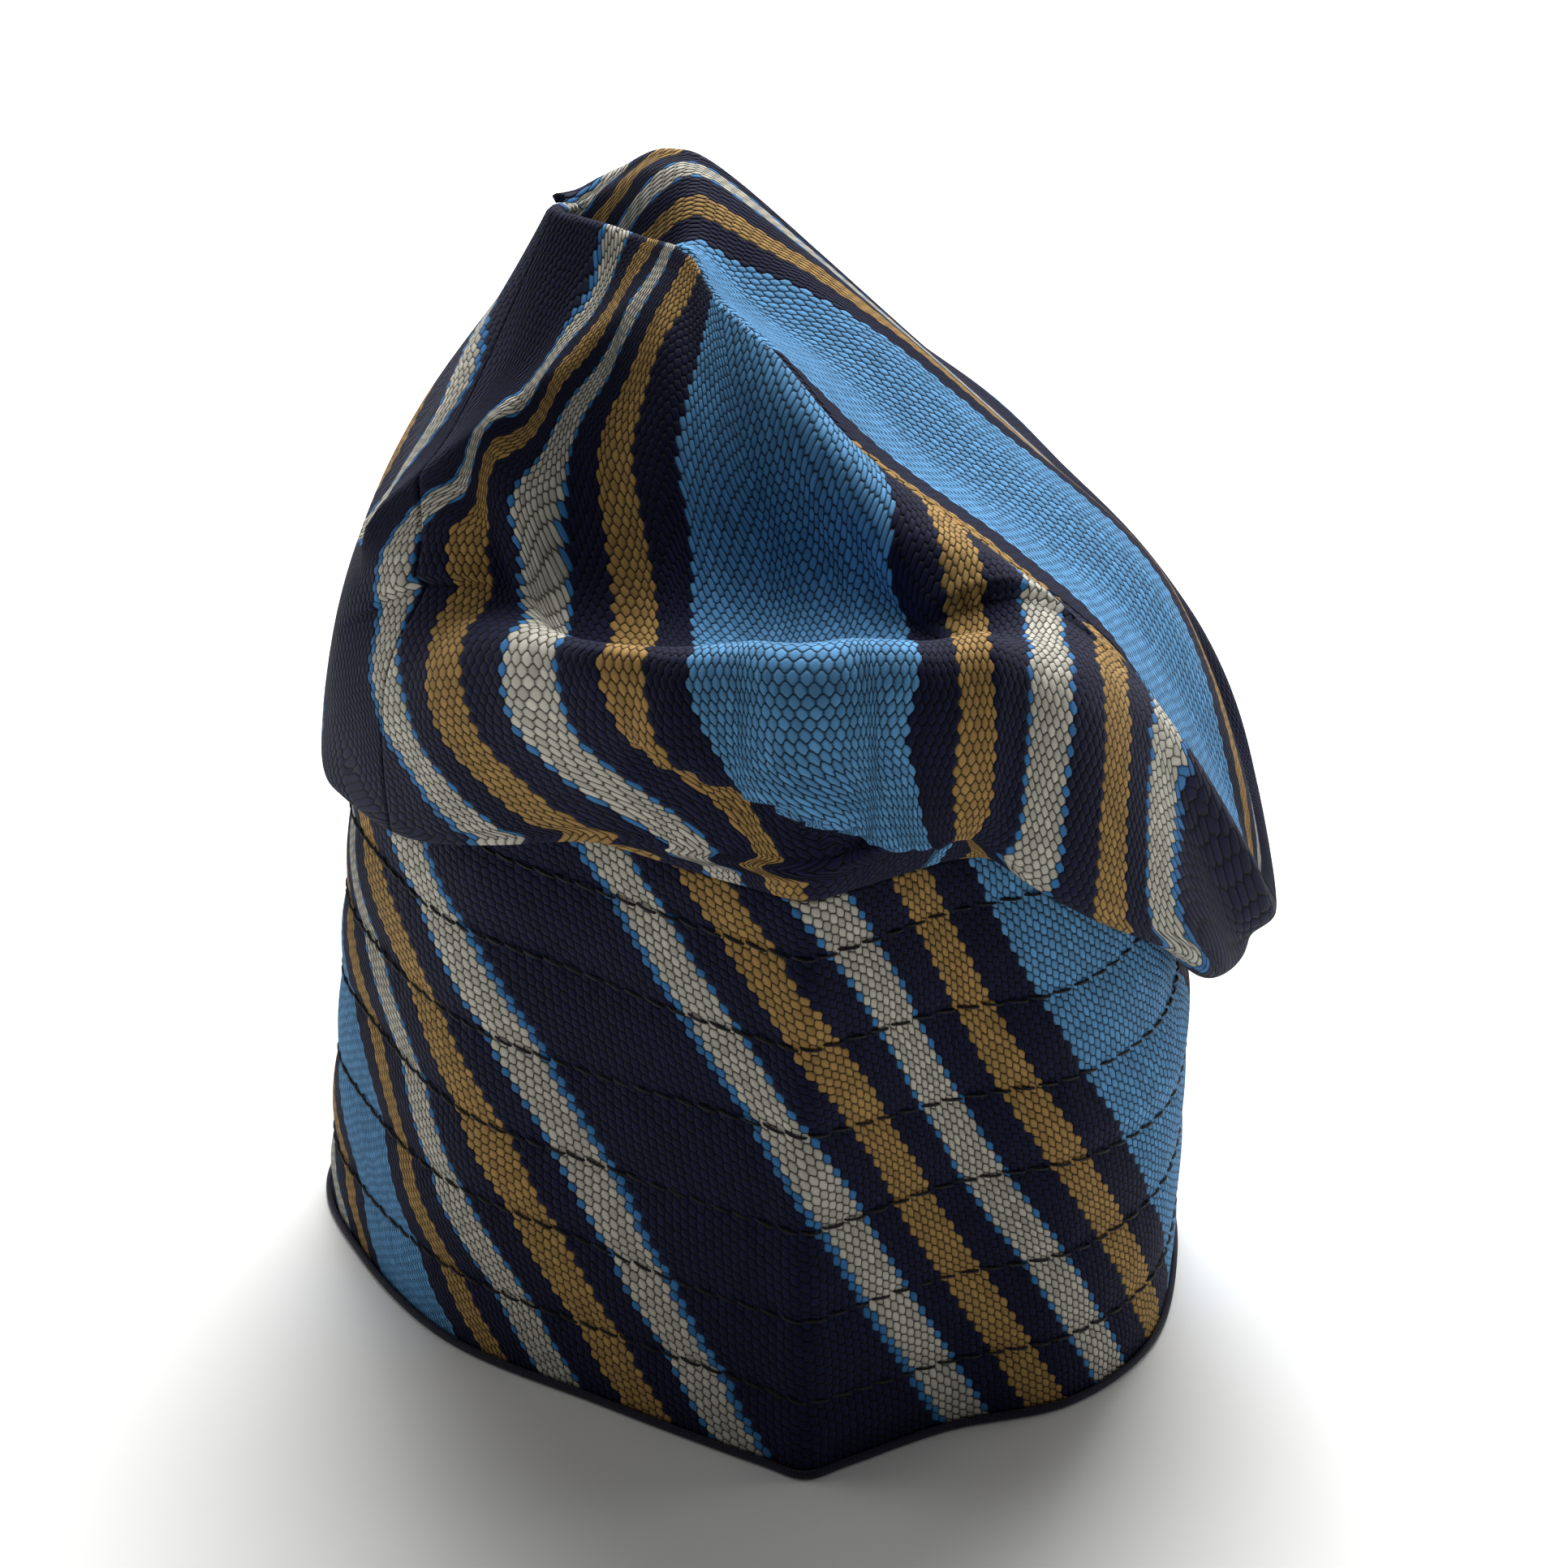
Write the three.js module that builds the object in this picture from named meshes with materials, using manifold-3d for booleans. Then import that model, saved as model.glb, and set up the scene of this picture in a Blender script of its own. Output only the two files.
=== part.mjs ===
// A soft cap of striped hand-woven strip cloth: a deep quilted band, and a tall bag crown that is
// folded down on the right, where its end hangs over the band as a flap.
// Millimetres, +Z up. The cap stands on the band's lower edge, -Y is its creased front, and the
// flap falls towards +X. The origin is under the middle of the whole cap, on the surface it stands on.
import * as THREE from "three";
import { ParametricGeometry } from "three/addons/geometries/ParametricGeometry.js";
import { mergeVertices } from "three/addons/utils/BufferGeometryUtils.js";
import Module from "manifold-3d";

const wasm = await Module();
wasm.setup();

// ---- driving dimensions ----
const headGirth = 566; // round the outside of the band's lower edge
const bandHeight = 124;
const crownRise = 100; // the crown's peak above the band's upper edge
const flapDrop = 52; // the flap's lowest fold below the band's upper edge
const leftLean = 13; // how far the band's left side leans in at its upper edge
const rightLean = 12;

const clothThickness = 1.6;
const stiffenerThickness = 1.2;
const liningThickness = 0.8;
const layerGap = 0.35; // between cloth layers that lie on each other

const hemHeight = 3; // the tape that closes the band's lower edge
const hemThickness = 0.9;
const hemFloor = 1.2; // tape under the band's layers

const quiltRows = 6;
const firstRow = 17; // the lowest row above the band's lower edge
const lastRowDrop = 10.5; // the highest row below the band's upper edge
const quiltPitch = (bandHeight - firstRow - lastRowDrop) / (quiltRows - 1);
const threadDiameter = 0.9;
const seamCordDiameter = 1.8; // the rolled seam along each ridge of the crown

const tuckDepth = 14; // crown cloth that is sewn inside the band
const rimHeight = 3.4; // the crown's cloth passes this far above the band
const hangOut = 3.3; // and hangs this far outside the band, to the middle of the cloth
const lipRadius = 2; // of the cloth's turn at the lip
const seamSlit = 0.6; // the gap where two edges of cloth meet in a seam
const valleyDepth = 6; // how far the crown's top sinks between its two ridges
const flapLine = 6; // the flap bends this far outside the band's right upper edge

// ---- the band's outline, seen from above, for a girth of about 566 ----
const outlinePoints = [
  [-22, 96], // rear crease
  [-31, 94],
  [-62, 74],
  [-88, 42],
  [-99, 6], // left side
  [-89, -22],
  [-68, -52],
  [-36, -73],
  [-4, -92],
  [4, -96], // front crease
  [12, -92],
  [32, -81],
  [56, -73],
  [73, -55],
  [81, -28],
  [82, 4], // right side
  [70, 36],
  [36, 72],
  [-13, 95],
].map(([x, y]) => new THREE.Vector3(x, y, 0));
const outlineShape = new THREE.CatmullRomCurve3(outlinePoints, true, "centripetal");
outlineShape.arcLengthDivisions = 1200;
const girthScale = headGirth / outlineShape.getLength();
const leftSide = -99 * girthScale;
const rightSide = 82 * girthScale;
const up = new THREE.Vector3(0, 0, 1);
const stackThickness = clothThickness + stiffenerThickness + liningThickness + 2 * layerGap;

// A point of the band: a share of the way round from the rear crease by the left side, a height,
// and a distance out from the outer face of the cloth. The left side leans in all the way up, and
// the right side from half its height.
function bandPoint(round, height, out) {
  const share = ((round % 1) + 1) % 1;
  const point = outlineShape.getPointAt(share).multiplyScalar(girthScale);
  point.addScaledVector(outlineShape.getTangentAt(share).cross(up), out);
  const rise = Math.min(1, height / bandHeight);
  const lean =
    leftLean * rise * THREE.MathUtils.smoothstep(point.x / leftSide, 0, 1) -
    rightLean * Math.max(0, 2 * rise - 1) * THREE.MathUtils.smoothstep(point.x / rightSide, 0, 1);
  return new THREE.Vector3(point.x + lean, point.y, height);
}

// ---- solids ----
function toSolid(geometry) {
  geometry.deleteAttribute("normal");
  geometry.deleteAttribute("uv");
  const merged = mergeVertices(geometry, 1e-4);
  return new wasm.Manifold(
    new wasm.Mesh({
      numProp: 3,
      vertProperties: new Float32Array(merged.attributes.position.array),
      triVerts: new Uint32Array(merged.index.array),
    }),
  );
}

function toMesh(name, solid, material) {
  const made = solid.getMesh();
  const geometry = new THREE.BufferGeometry()
    .setAttribute("position", new THREE.BufferAttribute(new Float32Array(made.vertProperties), 3))
    .setIndex(new THREE.BufferAttribute(new Uint32Array(made.triVerts), 1));
  geometry.computeVertexNormals();
  const mesh = new THREE.Mesh(geometry, material);
  mesh.name = name;
  return mesh;
}

// A closed loop of sheet: near and far give its two faces at a share round and a share up.
function sheetLoop(near, far, steps, rows) {
  const stacks = 2 * rows + 2;
  const geometry = new ParametricGeometry(
    (round, across, target) => {
      const i = Math.round(across * stacks);
      const share = round === 1 ? 0 : round;
      if (i === stacks) target.copy(near(share, 0));
      else if (i <= rows) target.copy(near(share, i / rows));
      else target.copy(far(share, (stacks - 1 - i) / rows));
    },
    steps,
    stacks,
  );
  return toSolid(geometry);
}

// A solid whose cross-section is a ring of points that changes from one end to the other.
function loft(ringAt, steps, sides) {
  const geometry = new ParametricGeometry(
    (along, around, target) => target.copy(ringAt(along, around === 1 ? 0 : around)),
    steps,
    sides,
  );
  return toSolid(geometry);
}

// A block with one side on a plane that stands across the given axis, to cut with.
const blockSize = 1000;
function blockBeyond(axis, place) {
  const centre = new THREE.Vector3();
  centre[axis] = place + blockSize / 2;
  const box = new THREE.BoxGeometry(blockSize, blockSize, blockSize);
  return toSolid(box.translate(centre.x, centre.y, centre.z));
}

// An upright wedge between two places round the cap, to cut a ring into pieces with.
function wedge(from, to) {
  const steps = 24;
  const shape = new THREE.Shape();
  shape.moveTo(-6, -2);
  for (let i = 0; i <= steps; i += 1) {
    const edge = bandPoint(THREE.MathUtils.lerp(from, to, i / steps), 0, 60);
    shape.lineTo(edge.x, edge.y);
  }
  const geometry = new THREE.ExtrudeGeometry(shape, { depth: 400, bevelEnabled: false });
  return toSolid(geometry.translate(0, 0, -10));
}

// ---- materials ----
const clothMaterial = new THREE.MeshStandardMaterial({ color: 0x262a45, roughness: 0.85, metalness: 0 });
const blueMaterial = new THREE.MeshStandardMaterial({ color: 0x4d86b8, roughness: 0.7, metalness: 0 });
const canvasMaterial = new THREE.MeshStandardMaterial({ color: 0xb9b19c, roughness: 0.95, metalness: 0 });
const liningMaterial = new THREE.MeshStandardMaterial({ color: 0x20232f, roughness: 0.9, metalness: 0 });
const threadMaterial = new THREE.MeshStandardMaterial({ color: 0x12131a, roughness: 0.7, metalness: 0 });

// ---- the band ----
const roundSteps = 60;
const bandRows = 4;
const underLayers = hemFloor + layerGap;

function bandLayer(outerFace, thickness) {
  const height = (share) => (share === 0 ? underLayers : share * bandHeight);
  return sheetLoop(
    (round, share) => bandPoint(round, height(share), outerFace),
    (round, share) => bandPoint(round, height(share), outerFace - thickness),
    roundSteps,
    bandRows,
  );
}

const stiffenerFace = -clothThickness - layerGap;
const liningFace = stiffenerFace - stiffenerThickness - layerGap;
const seamShare = seamSlit / headGirth; // a seam's slit as a share of the way round
const backSlit = wedge(-seamShare / 2, seamShare / 2);

// The hem tape is a U that holds the lower edges of the three layers.
function hemTape() {
  const outside = sheetLoop(
    (round, share) => bandPoint(round, share * hemHeight, layerGap + hemThickness),
    (round, share) => bandPoint(round, share * hemHeight, -stackThickness - layerGap - hemThickness),
    roundSteps,
    1,
  );
  const room = sheetLoop(
    (round, share) => bandPoint(round, hemFloor + share * hemHeight, layerGap),
    (round, share) => bandPoint(round, hemFloor + share * hemHeight, -stackThickness - layerGap),
    roundSteps,
    1,
  );
  return outside.subtract(room);
}

// A thread that runs round the band at one height.
const threadSides = 4;
function threadRing(height, out, diameter) {
  return loft(
    (round, around) => {
      const angle = around * 2 * Math.PI;
      const radius = diameter / 2;
      return bandPoint(
        round === 1 ? 0 : round,
        height + radius * Math.sin(angle),
        out + radius * Math.cos(angle),
      );
    },
    roundSteps,
    threadSides,
  );
}

// ---- the crown ----
// Each station is a share of the way round the band. Its lip and belly are [out from the band, above
// the band's upper edge]; its waist and ridge are [x, y, above that edge].
const stations = [
  { at: 0.0, lip: [7, -12], belly: [10, 20], waist: [-18, 62, 60], ridge: [-10, 29, 93] }, // rear
  { at: 0.07, lip: [7, -16], belly: [9, 14], waist: [-42, 50, 62], ridge: [-22, 24, 100] }, // peak
  { at: 0.14, lip: [6, -22], belly: [7, 2], waist: [-60, 32, 60], ridge: [-31, 17, 98] },
  { at: 0.21, lip: [5.6, -24], belly: [6, -6], waist: [-78, 14, 40], ridge: [-39, 9, 95] }, // left
  { at: 0.25, lip: [5.6, -20], belly: [6, 6], waist: [-81, -10, 30], ridge: [-43, 1, 96] },
  { at: 0.305, lip: [5.4, -15], belly: [6, 22], waist: [-62, -30, 52], ridge: [-42, -5, 96] },
  { at: 0.36, lip: [5.4, -5], belly: [8, 36], waist: [-50, -42, 54], ridge: [-34, -9, 95] },
  { at: 0.415, lip: [6, 4], belly: [14, 43], waist: [-34, -54, 50], ridge: [-26, -11, 93] },
  { at: 0.45, lip: [6, 6], belly: [11, 44], waist: [-20, -60, 51], ridge: [-18, -14, 91] },
  { at: 0.487, lip: [6, 8], belly: [7, 46], waist: [-3, -60, 48], ridge: [-13, -19, 84] }, // front
  { at: 0.525, lip: [14, 13], belly: [14, 45], waist: [13, -66, 47], ridge: [-2, -27, 76] },
  { at: 0.56, lip: [14, 6], belly: [15, 42], waist: [32, -74, 46], ridge: [14, -36, 60] },
  { at: 0.595, lip: [13, -12], belly: [12, 27], waist: [50, -68, 40], ridge: [38, -45, 44] },
  { at: 0.63, lip: [12, -28], belly: [11, 4], waist: [70, -58, 14], ridge: [62, -47, 24] },
  { at: 0.665, lip: [11, -46], belly: [12, -28], waist: [90, -40, -22], ridge: [84, -37, -14] },
  { at: 0.7, lip: [13, -flapDrop], belly: [15, 6 - flapDrop], waist: [98, -20, -42], ridge: [95, -18, -36] },
  { at: 0.745, lip: [12, -46], belly: [14, -36], waist: [97, 6, -28], ridge: [93, 5, -22] },
  { at: 0.8, lip: [9, -36], belly: [12, -14], waist: [86, 30, -2], ridge: [80, 27, 7] },
  { at: 0.86, lip: [8, -24], belly: [12, 2], waist: [60, 50, 24], ridge: [56, 37, 30] },
  { at: 0.93, lip: [8, -14], belly: [12, 14], waist: [28, 60, 46], ridge: [24, 36, 60] },
];
const leftEnd = 0.25; // the share round where the crown's top strip begins
const tipEnd = 0.7; // and where it ends, at the flap's tip

// Two columns of the stations as a smooth closed line, and the place in it of a share round.
const column = (pick) =>
  new THREE.CatmullRomCurve3(stations.map((s) => new THREE.Vector3(...pick(s))), true, "catmullrom");
const lips = column(({ lip }) => [lip[0], lip[1], 0]);
const bellies = column(({ belly }) => [belly[0], belly[1], 0]);
const waists = column(({ waist }) => waist);
const ridges = column(({ ridge }) => ridge);

function stationPlace(round) {
  const share = ((round % 1) + 1) % 1;
  const before = stations.findLastIndex(({ at }) => at <= share);
  const next = before + 1 < stations.length ? stations[before + 1].at : 1;
  return (before + (share - stations[before].at) / (next - stations[before].at)) / stations.length;
}

// The places that the crown's cloth passes at a share round, from inside the band to the ridge.
function profile(round) {
  const place = stationPlace(round);
  const lip = lips.getPoint(place);
  const belly = bellies.getPoint(place);
  const footOut = -stackThickness - 1.6 * layerGap - clothThickness / 2;
  const scale = new THREE.Vector3(girthScale, girthScale, crownRise / 100);
  const edge = new THREE.Vector3(0, 0, bandHeight);
  const hangs = THREE.MathUtils.smoothstep(-lip.y, -4, 4);
  const innerOut = THREE.MathUtils.lerp((hangOut + lip.x) / 2, hangOut, hangs);
  const innerAbove = THREE.MathUtils.lerp(0.6 * lip.y + 1, lip.y + 1.5 * lipRadius, hangs);
  return [
    bandPoint(round, bandHeight - tuckDepth, footOut),
    bandPoint(round, bandHeight + 0.6, footOut),
    bandPoint(round, bandHeight + rimHeight, -stackThickness / 2),
    bandPoint(round, bandHeight + 2.2, hangOut - 1.2),
    bandPoint(round, bandHeight + innerAbove, innerOut),
    bandPoint(round, bandHeight + lip.y, (innerOut + lip.x) / 2),
    bandPoint(round, bandHeight + lip.y + 1.5 * lipRadius, lip.x),
    bandPoint(round, bandHeight + belly.y, belly.x),
    waists.getPoint(place).multiply(scale).add(edge),
    ridges.getPoint(place).multiply(scale).add(edge),
  ];
}
const ridgeAt = (round) => profile(round).at(-1);

// The middle of the crown's cloth, at a share round and a share of the way from foot to ridge.
function crownMiddle(round, share) {
  const line = new THREE.CatmullRomCurve3(profile(round), false, "centripetal");
  return line.getPoint(THREE.MathUtils.clamp(share, 0, 1));
}

// A point of one face of a sheet whose middle is given, half the cloth away from that middle.
function faceOf(middle, round, share, out) {
  const small = 1e-3;
  const along = middle(round + small, share).sub(middle(round - small, share));
  const rising = middle(round, share + small).sub(middle(round, share - small));
  return middle(round, share).addScaledVector(along.cross(rising).normalize(), out);
}

// The wall has this many rows of faces in each stretch of the profile. Its cloth stops short of the
// ridge, and leaves room there for the seam.
const rowsPerStretch = [1, 1, 1, 1, 2, 2, 2, 5, 5];
const seamRoom = 1.3;
const rowShares = rowsPerStretch.flatMap((rows, stretch) =>
  [...Array(rows).keys()].map((row) => (stretch + row / rows) / rowsPerStretch.length),
);
const crownRows = rowShares.length;
rowShares.push(1);
function wallEnd(round) {
  const places = profile(round);
  const lastStretch = places.at(-1).distanceTo(places.at(-2));
  return 1 - (seamCordDiameter / 2 + seamRoom) / (lastStretch * (places.length - 1));
}
function wallFace(round, part, out) {
  const share = rowShares[Math.round(part * crownRows)];
  return faceOf(crownMiddle, round, Math.min(share, wallEnd(round)), out);
}
const crownWall = sheetLoop(
  (round, part) => wallFace(round, part, clothThickness / 2),
  (round, part) => wallFace(round, part, -clothThickness / 2),
  roundSteps,
  crownRows,
);

// The crown's top is one strip of cloth that sinks between the front ridge and the rear ridge.
const topSteps = 36;
const topRows = 5;
const topInset = 3.4; // the top strip's edges keep this far from the ridges
const leftShare = 0.13; // and its left end and its tip end this share of its length
const tipShare = 0.025;

function topMiddle(along, share) {
  const inner = THREE.MathUtils.lerp(leftShare, 1 - tipShare, THREE.MathUtils.clamp(along, 0, 1));
  const front = ridgeAt(leftEnd + inner * (tipEnd - leftEnd));
  const rear = ridgeAt(leftEnd - inner * (1 - tipEnd + leftEnd));
  const width = front.distanceTo(rear);
  const inset = Math.min(0.4, topInset / width);
  const across = THREE.MathUtils.lerp(inset, 1 - inset, share);
  const depth = valleyDepth * (1 - THREE.MathUtils.smoothstep(inner, 0.45, 0.85));
  const sink = Math.min(depth, 0.3 * width) * 4 * share * (1 - share);
  return front.lerp(rear, across).addScaledVector(up, -sink);
}

function topStrip() {
  const half = clothThickness / 2;
  const ring = 2 * topRows + 2;
  return loft(
    (along, around) => {
      const i = Math.round(around * ring);
      const upper = i <= topRows;
      const share = upper ? i / topRows : (ring - 1 - i) / topRows;
      if (along === 0 || along === 1) return topMiddle(along, 0.5);
      return faceOf(topMiddle, along, THREE.MathUtils.clamp(share, 0, 1), upper ? half : -half);
    },
    topSteps,
    ring,
  );
}

// A round cord along a line that nowhere runs along the given direction.
function cord(lineAt, aside, diameter, steps) {
  return loft(
    (along, around) => {
      const centre = lineAt(along);
      if (along === 0 || along === 1) return centre;
      const ahead = lineAt(along + 1e-3).sub(lineAt(along - 1e-3));
      const side = ahead.clone().cross(aside).normalize();
      const over = side.clone().cross(ahead).normalize();
      const angle = around * 2 * Math.PI;
      return centre
        .addScaledVector(side, (Math.cos(angle) * diameter) / 2)
        .addScaledVector(over, (Math.sin(angle) * diameter) / 2);
    },
    steps,
    threadSides + 1,
  );
}
const ridgeCord = (start, end) =>
  cord((along) => ridgeAt(THREE.MathUtils.lerp(start, end, along)), up, seamCordDiameter, 45);

// The thread of a seam lies inside the crown, over the slit between two strips.
const seamThreadIn = clothThickness / 2 + 3 * layerGap + threadDiameter / 2;
function stripSeam(round, from, to) {
  const across = bandPoint(round + 0.01, 0, 0).sub(bandPoint(round - 0.01, 0, 0)).normalize();
  const line = (along) => {
    const share = THREE.MathUtils.lerp(from, to, THREE.MathUtils.clamp(along, 0, 1));
    return faceOf(crownMiddle, round, share, -seamThreadIn);
  };
  return cord(line, across, threadDiameter, 16);
}

// ---- where the crown's cloth is joined, and where its end folds ----
const leftSeam = 0.3; // the places round the band where two strips of the crown meet
const tipSeam = 0.7;
const rearSeam = 1.0;
const half = seamShare / 2;
const flapPlane = rightSide - rightLean + flapLine;
const beyond = blockBeyond("x", flapPlane + seamSlit / 2);
const past = blockBeyond("x", flapPlane - seamSlit / 2);

const group = new THREE.Group();
const add = (name, solid, material) => group.add(toMesh(name, solid, material));

add("band_shell", bandLayer(0, clothThickness).subtract(backSlit), clothMaterial);
add("band_stiffener", bandLayer(stiffenerFace, stiffenerThickness).subtract(backSlit), canvasMaterial);
add("band_lining", bandLayer(liningFace, liningThickness).subtract(backSlit), liningMaterial);
add("hem_tape", hemTape(), liningMaterial);
for (let row = 0; row < quiltRows; row += 1) {
  const out = layerGap + threadDiameter / 2;
  add(`quilt_row_${row + 1}`, threadRing(firstRow + row * quiltPitch, out, threadDiameter), threadMaterial);
}

const strips = {
  left: crownWall.intersect(wedge(half, leftSeam - half)),
  front: crownWall.intersect(wedge(leftSeam + half, tipSeam - half)),
  right: crownWall.intersect(wedge(tipSeam + half, rearSeam - half)),
};
add("crown_left_strip", strips.left, clothMaterial);
add("crown_front_strip", strips.front.subtract(past), clothMaterial);
add("crown_right_strip", strips.right.subtract(past), clothMaterial);
add("flap_front_strip", strips.front.intersect(beyond), clothMaterial);
add("flap_right_strip", strips.right.intersect(beyond), clothMaterial);
const top = topStrip();
add("crown_top_strip", top.subtract(past), blueMaterial);
add("flap_top_strip", top.intersect(beyond), blueMaterial);
const ridgeSeams = {
  front: ridgeCord(leftEnd + 0.01, tipEnd - 0.012),
  rear: ridgeCord(leftEnd - 0.012, tipEnd - 1 + 0.012),
};
for (const [side, solid] of Object.entries(ridgeSeams)) {
  add(`crown_ridge_seam_${side}`, solid.subtract(past), threadMaterial);
  add(`flap_ridge_seam_${side}`, solid.intersect(beyond), threadMaterial);
}
add("crown_seam_left", stripSeam(leftSeam, 0.8, 0.96), threadMaterial);
add("crown_seam_rear", stripSeam(rearSeam, 0.8, 0.96), threadMaterial);
add("flap_seam_tip", stripSeam(tipSeam, 0.72, 0.85), threadMaterial);
const joinOut = -stackThickness - 4 * layerGap - clothThickness - threadDiameter / 2;
add("crown_join_seam", threadRing(bandHeight - tuckDepth / 2, joinOut, threadDiameter), threadMaterial);

// The origin goes under the middle of the cap.
const extent = new THREE.Box3().setFromObject(group);
const middle = extent.getCenter(new THREE.Vector3());
group.position.set(-middle.x, -middle.y, -extent.min.z);

export default group;
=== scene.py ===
"""A soft cap of striped hand-woven strip cloth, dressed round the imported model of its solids.

Sizes in the panel are millimetres on the real cap. Blender works in metres, in the frame of the
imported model: +Z up, the band's front crease towards -Y, the flap towards +X.
"""

import math

import bpy
import numpy as np
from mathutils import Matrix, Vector


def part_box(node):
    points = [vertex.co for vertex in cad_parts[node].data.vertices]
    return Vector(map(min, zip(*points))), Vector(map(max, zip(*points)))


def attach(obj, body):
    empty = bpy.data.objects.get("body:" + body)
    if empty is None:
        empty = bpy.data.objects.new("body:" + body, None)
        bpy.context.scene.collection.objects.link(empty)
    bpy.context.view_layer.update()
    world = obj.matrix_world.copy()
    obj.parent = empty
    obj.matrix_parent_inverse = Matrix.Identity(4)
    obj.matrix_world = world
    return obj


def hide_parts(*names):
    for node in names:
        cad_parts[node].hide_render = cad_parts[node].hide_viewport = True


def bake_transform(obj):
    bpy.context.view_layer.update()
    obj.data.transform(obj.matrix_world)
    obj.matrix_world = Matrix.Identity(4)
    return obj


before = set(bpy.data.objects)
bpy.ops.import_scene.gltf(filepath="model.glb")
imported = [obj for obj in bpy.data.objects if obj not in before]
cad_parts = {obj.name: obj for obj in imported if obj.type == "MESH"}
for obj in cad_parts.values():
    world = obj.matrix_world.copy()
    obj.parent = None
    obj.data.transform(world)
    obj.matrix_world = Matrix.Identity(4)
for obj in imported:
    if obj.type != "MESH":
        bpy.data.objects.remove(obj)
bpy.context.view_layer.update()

bl_info = {
    "name": "Strip-cloth cap",
    "version": (1, 0, 0),
    "blender": (4, 5, 0),
    "location": "View3D > Sidebar > Cap",
    "description": "Builds a folded soft cap of striped hand-woven cloth with a quilted band",
    "category": "Object",
}

MM = 0.001
TAU = 2 * math.pi

# ---- the cap's shape, in millimetres, as its solids have it ----

HEAD_GIRTH = 566.0
BAND_HEIGHT = 124.0
LEFT_LEAN, RIGHT_LEAN = 13.0, 12.0
CLOTH, CANVAS, LINING, GAP = 1.6, 1.2, 0.8, 0.35
STACK = CLOTH + CANVAS + LINING + 2 * GAP
HEM_HEIGHT, HEM_THICKNESS, HEM_FLOOR = 3.0, 0.9, 1.2
QUILT_ROWS, QUILT_PITCH, FIRST_ROW = 6, 19.3, 17.0
TUCK, RIM, HANG_OUT, LIP_RADIUS = 14.0, 3.4, 3.3, 2.0
LEFT_END, TIP_END = 0.25, 0.7
LEFT_SEAM, TIP_SEAM = 0.3, 0.7

OUTLINE = np.array([
    (-22, 96), (-31, 94), (-62, 74), (-88, 42), (-99, 6), (-89, -22), (-68, -52), (-36, -73),
    (-4, -92), (4, -96), (12, -92), (32, -81), (56, -73), (73, -55), (81, -28), (82, 4),
    (70, 36), (36, 72), (-13, 95),
], float)

# Round the band: where, lip (out, above), belly (out, above), waist and ridge (x, y, above).
STATIONS = (
    (0.000, (7, -12), (10, 20), (-18, 62, 60), (-10, 29, 93)),
    (0.070, (7, -16), (9, 14), (-42, 50, 62), (-22, 24, 100)),
    (0.140, (6, -22), (7, 2), (-60, 32, 60), (-31, 17, 98)),
    (0.210, (5.6, -24), (6, -6), (-78, 14, 40), (-39, 9, 95)),
    (0.250, (5.6, -20), (6, 6), (-81, -10, 30), (-43, 1, 96)),
    (0.305, (5.4, -15), (6, 22), (-62, -30, 52), (-42, -5, 96)),
    (0.360, (5.4, -5), (8, 36), (-50, -42, 54), (-34, -9, 95)),
    (0.415, (6, 4), (14, 43), (-34, -54, 50), (-26, -11, 93)),
    (0.450, (6, 6), (11, 44), (-20, -60, 51), (-18, -14, 91)),
    (0.487, (6, 8), (7, 46), (-3, -60, 48), (-13, -19, 84)),
    (0.525, (14, 13), (14, 45), (13, -66, 47), (-2, -27, 76)),
    (0.560, (14, 6), (15, 42), (32, -74, 46), (14, -36, 60)),
    (0.595, (13, -12), (12, 27), (50, -68, 40), (38, -45, 44)),
    (0.630, (12, -28), (11, 4), (70, -58, 14), (62, -47, 24)),
    (0.665, (11, -46), (12, -28), (90, -40, -22), (84, -37, -14)),
    (0.700, (13, -52), (15, -46), (98, -20, -42), (95, -18, -36)),
    (0.745, (12, -46), (14, -36), (97, 6, -28), (93, 5, -22)),
    (0.800, (9, -36), (12, -14), (86, 30, -2), (80, 27, 7)),
    (0.860, (8, -24), (12, 2), (60, 50, 24), (56, 37, 30)),
    (0.930, (8, -14), (12, 14), (28, 60, 46), (24, 36, 60)),
)


def spline(points, t, closed, centripetal=True):
    """A smooth curve through points (along their first axis) at places t from 0 to 1."""
    points = np.asarray(points, float)
    n = len(points)
    x = np.atleast_1d(t) * (n if closed else n - 1)
    i = np.floor(x).astype(int)
    if not closed:
        i = np.clip(i, 0, n - 2)
    w = (x - i).reshape((-1,) + (1,) * (points.ndim - 1))
    if closed:
        p0, p1, p2, p3 = (points[(i + k) % n] for k in (-1, 0, 1, 2))
    else:
        padded = np.concatenate([
            [2 * points[0] - points[1]], points, [2 * points[-1] - points[-2]],
        ])
        p0, p1, p2, p3 = (padded[i + k] for k in (0, 1, 2, 3))
    if centripetal:
        step = [
            np.sqrt(np.linalg.norm(b - a, axis=-1, keepdims=True))
            for a, b in ((p0, p1), (p1, p2), (p2, p3))
        ]
        step[1] = np.where(step[1] < 1e-4, 1.0, step[1])
        step[0] = np.where(step[0] < 1e-4, step[1], step[0])
        step[2] = np.where(step[2] < 1e-4, step[1], step[2])
        d0, d1, d2 = step
        v1 = ((p1 - p0) / d0 - (p2 - p0) / (d0 + d1) + (p2 - p1) / d1) * d1
        v2 = ((p2 - p1) / d1 - (p3 - p1) / (d1 + d2) + (p3 - p2) / d2) * d1
    else:
        v1, v2 = (p2 - p0) / 2, (p3 - p1) / 2
    return (
        p1 + v1 * w + (3 * (p2 - p1) - 2 * v1 - v2) * w**2 + (2 * (p1 - p2) + v1 + v2) * w**3
    )


def smoothstep(x, low, high):
    t = np.clip((np.asarray(x, float) - low) / (high - low), 0, 1)
    return t * t * (3 - 2 * t)


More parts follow.
